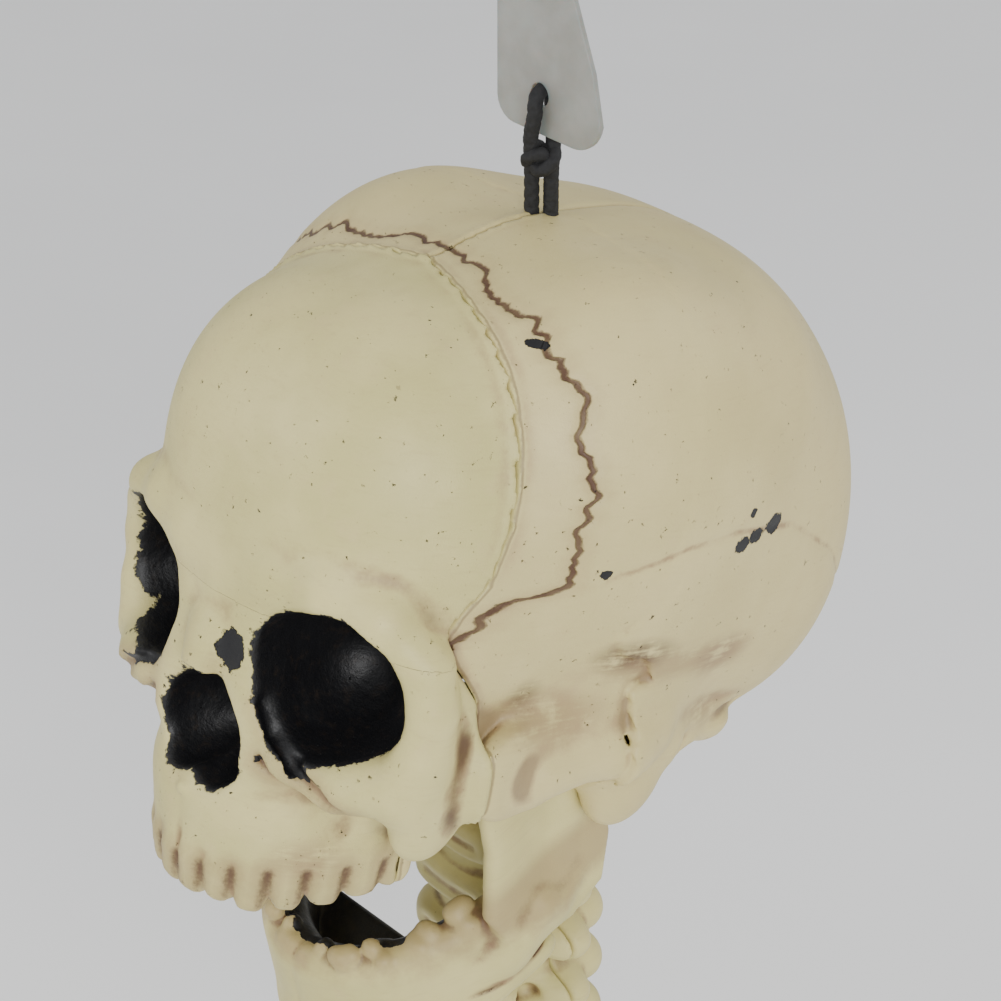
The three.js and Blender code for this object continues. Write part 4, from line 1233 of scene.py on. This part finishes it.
def build_hardware(settings):
    steel = plain_material("zinc_steel", (0.42, 0.42, 0.41, 1), (0.3, 0.3, 0.29, 1), 0.28, 160, Metallic=0.9)
    nylon = plain_material("dark_nylon", (0.022, 0.022, 0.024, 1), (0.034, 0.034, 0.036, 1), 0.42, 120)
    bone = bone_plain_material()
    for side, sign in (("left", 1), ("right", -1)):
        node = "jaw_screw_" + side
        low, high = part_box(node)
        face = Vector(((low[0] if sign > 0 else high[0]), *box_middle(node).yz))
        refined("turned_" + node, node, "head", steel, settings, (face, (1, 0, 0), 1.6 * MM))
        refined("pressed_jaw_washer_" + side, "jaw_washer_" + side, "head", nylon, settings)
    for level in ("lower", "upper"):
        node = "neck_screw_" + level
        face = Vector((0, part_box(node)[1][1], box_middle(node).z))
        refined("turned_" + node, node, "neck", steel, settings, (face, (0, 1, 0), 1.3 * MM))
    for name, node, body in (("turned_nod_pin", "nod_pin", "head"), ("pressed_cord_washer", "cord_washer", "head")):
        refined(name, node, body, steel, settings)
    refined("moulded_nod_yoke", "nod_yoke", "head", nylon, settings)
    refined("moulded_swivel_post", "neck_swivel_post", "swivel", nylon, settings)
    refined("moulded_base_plug", "neck_base_plug", "neck", bone, settings)


def bone_plain_material():
    return plain_material("plug_plastic", CREAM, OLIVE_CREAM, 0.45, 40)


def build_stage(settings):
    scene = bpy.context.scene
    world = scene.world or bpy.data.worlds.new("studio")
    scene.world = world
    world.use_nodes = True
    background = world.node_tree.nodes["Background"]
    background.inputs[0].default_value = (0.95, 0.96, 0.97, 1)
    background.inputs[1].default_value = 0.8
    floor_mesh = bpy.data.meshes.new("floor")
    reach, height = 6.0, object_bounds()[0][2] - 0.12
    corners = [(-reach, -reach, height), (reach, -reach, height), (reach, reach, height), (-reach, reach, height)]
    floor_mesh.from_pydata(corners, [], [(0, 1, 2, 3)])
    floor = bpy.data.objects.new("floor", floor_mesh)
    floor_mesh.materials.append(plain_material("pale_floor", (0.9, 0.9, 0.9, 1), (0.86, 0.86, 0.86, 1), 0.7, 3))
    scene.collection.objects.link(floor)
    staged = [floor]
    for name, place, size, energy in LAMPS:
        lamp = bpy.data.lights.new(name, "AREA")
        lamp.size, lamp.energy = size, energy
        holder = bpy.data.objects.new(name, lamp)
        holder.location = EAR_PLACE + Vector(place)
        holder.rotation_euler = (EAR_PLACE - holder.location).to_track_quat("-Z", "Y").to_euler()
        scene.collection.objects.link(holder)
        staged.append(holder)
    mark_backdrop(*staged)
    camera_data = bpy.data.cameras.new("camera")
    camera_data.lens = settings.lens
    camera_data.clip_start = 0.01
    camera = bpy.data.objects.new("camera", camera_data)
    flat = math.cos(settings.elevation)
    back = Vector((math.sin(settings.azimuth) * flat, -math.cos(settings.azimuth) * flat, math.sin(settings.elevation)))
    aim = EAR_PLACE + Vector((-1.85, 9.51, 37.27)) * MM
    camera.location = aim + back * settings.distance
    camera.rotation_euler = (-back).to_track_quat("-Z", "Y").to_euler()
    scene.collection.objects.link(camera)
    scene.camera = camera


LAMPS = (
    ("key", (0.95, -0.6, 0.5), 0.5, 11),
    ("fill", (-0.45, -0.95, 0.6), 0.6, 5),
    ("back", (0.4, 1.0, 0.8), 0.7, 4),
)


# ---- the add-on --------------------------------------------------------------------------------------
class PieceOperator:
    bl_options = {"REGISTER", "UNDO"}

    def execute(self, context):
        type(self).make(getattr(context.scene.skeleton_head, self.group))
        return {"FINISHED"}


class SKELETON_OT_stage(PieceOperator, bpy.types.Operator):
    """Set up the floor, the lights and the camera"""
    bl_idname = "skeleton_head.stage"
    bl_label = "Stage"
    group, make = "stage", staticmethod(build_stage)


class SKELETON_OT_cord(PieceOperator, bpy.types.Operator):
    """Build the braided hanging cord and its knots"""
    bl_idname = "skeleton_head.cord"
    bl_label = "Cord and Knots"
    group, make = "cord", staticmethod(build_cord)


class SKELETON_OT_skull(PieceOperator, bpy.types.Operator):
    """Build the three hollow mouldings of the skull"""
    bl_idname = "skeleton_head.skull"
    bl_label = "Skull"
    group, make = "skull", staticmethod(build_skull)


class SKELETON_OT_jaw(PieceOperator, bpy.types.Operator):
    """Build the hinged lower jaw"""
    bl_idname = "skeleton_head.jaw"
    bl_label = "Jaw"
    group, make = "jaw", staticmethod(build_jaw)


class SKELETON_OT_neck(PieceOperator, bpy.types.Operator):
    """Build the two halves of the neck"""
    bl_idname = "skeleton_head.neck"
    bl_label = "Neck"
    group, make = "neck", staticmethod(build_neck)


class SKELETON_OT_tab(PieceOperator, bpy.types.Operator):
    """Build the frosted hanging tab"""
    bl_idname = "skeleton_head.tab"
    bl_label = "Hanging Tab"
    group, make = "tab", staticmethod(build_tab)


class SKELETON_OT_hardware(PieceOperator, bpy.types.Operator):
    """Build the screws, washers, pin, yoke, post and plug"""
    bl_idname = "skeleton_head.hardware"
    bl_label = "Hardware"
    group, make = "hardware", staticmethod(build_hardware)


OPERATORS = (
    SKELETON_OT_stage,
    SKELETON_OT_cord,
    SKELETON_OT_skull,
    SKELETON_OT_jaw,
    SKELETON_OT_neck,
    SKELETON_OT_tab,
    SKELETON_OT_hardware,
)


class SKELETON_PT_panel(bpy.types.Panel):
    bl_label = "Skeleton Head"
    bl_idname = "SKELETON_PT_panel"
    bl_space_type = "VIEW_3D"
    bl_region_type = "UI"
    bl_category = "Skeleton Head"

    def draw(self, context):
        for operator in OPERATORS:
            settings = getattr(context.scene.skeleton_head, operator.group)
            box = self.layout.box()
            for name in settings.__annotations__:
                box.prop(settings, name)
            box.operator(operator.bl_idname)


CLASSES = (
    SkullSettings,
    JawSettings,
    NeckSettings,
    CordSettings,
    TabSettings,
    HardwareSettings,
    StageSettings,
    SkeletonHeadSettings,
    *OPERATORS,
    SKELETON_PT_panel,
)


def register():
    for each in CLASSES:
        bpy.utils.register_class(each)
    bpy.types.Scene.skeleton_head = PointerProperty(type=SkeletonHeadSettings)


def unregister():
    del bpy.types.Scene.skeleton_head
    for each in reversed(CLASSES):
        bpy.utils.unregister_class(each)


def main():
    register()
    for operator in OPERATORS:
        group, name = operator.bl_idname.split(".")
        getattr(getattr(bpy.ops, group), name)()


if __name__ == "__main__":
    main()
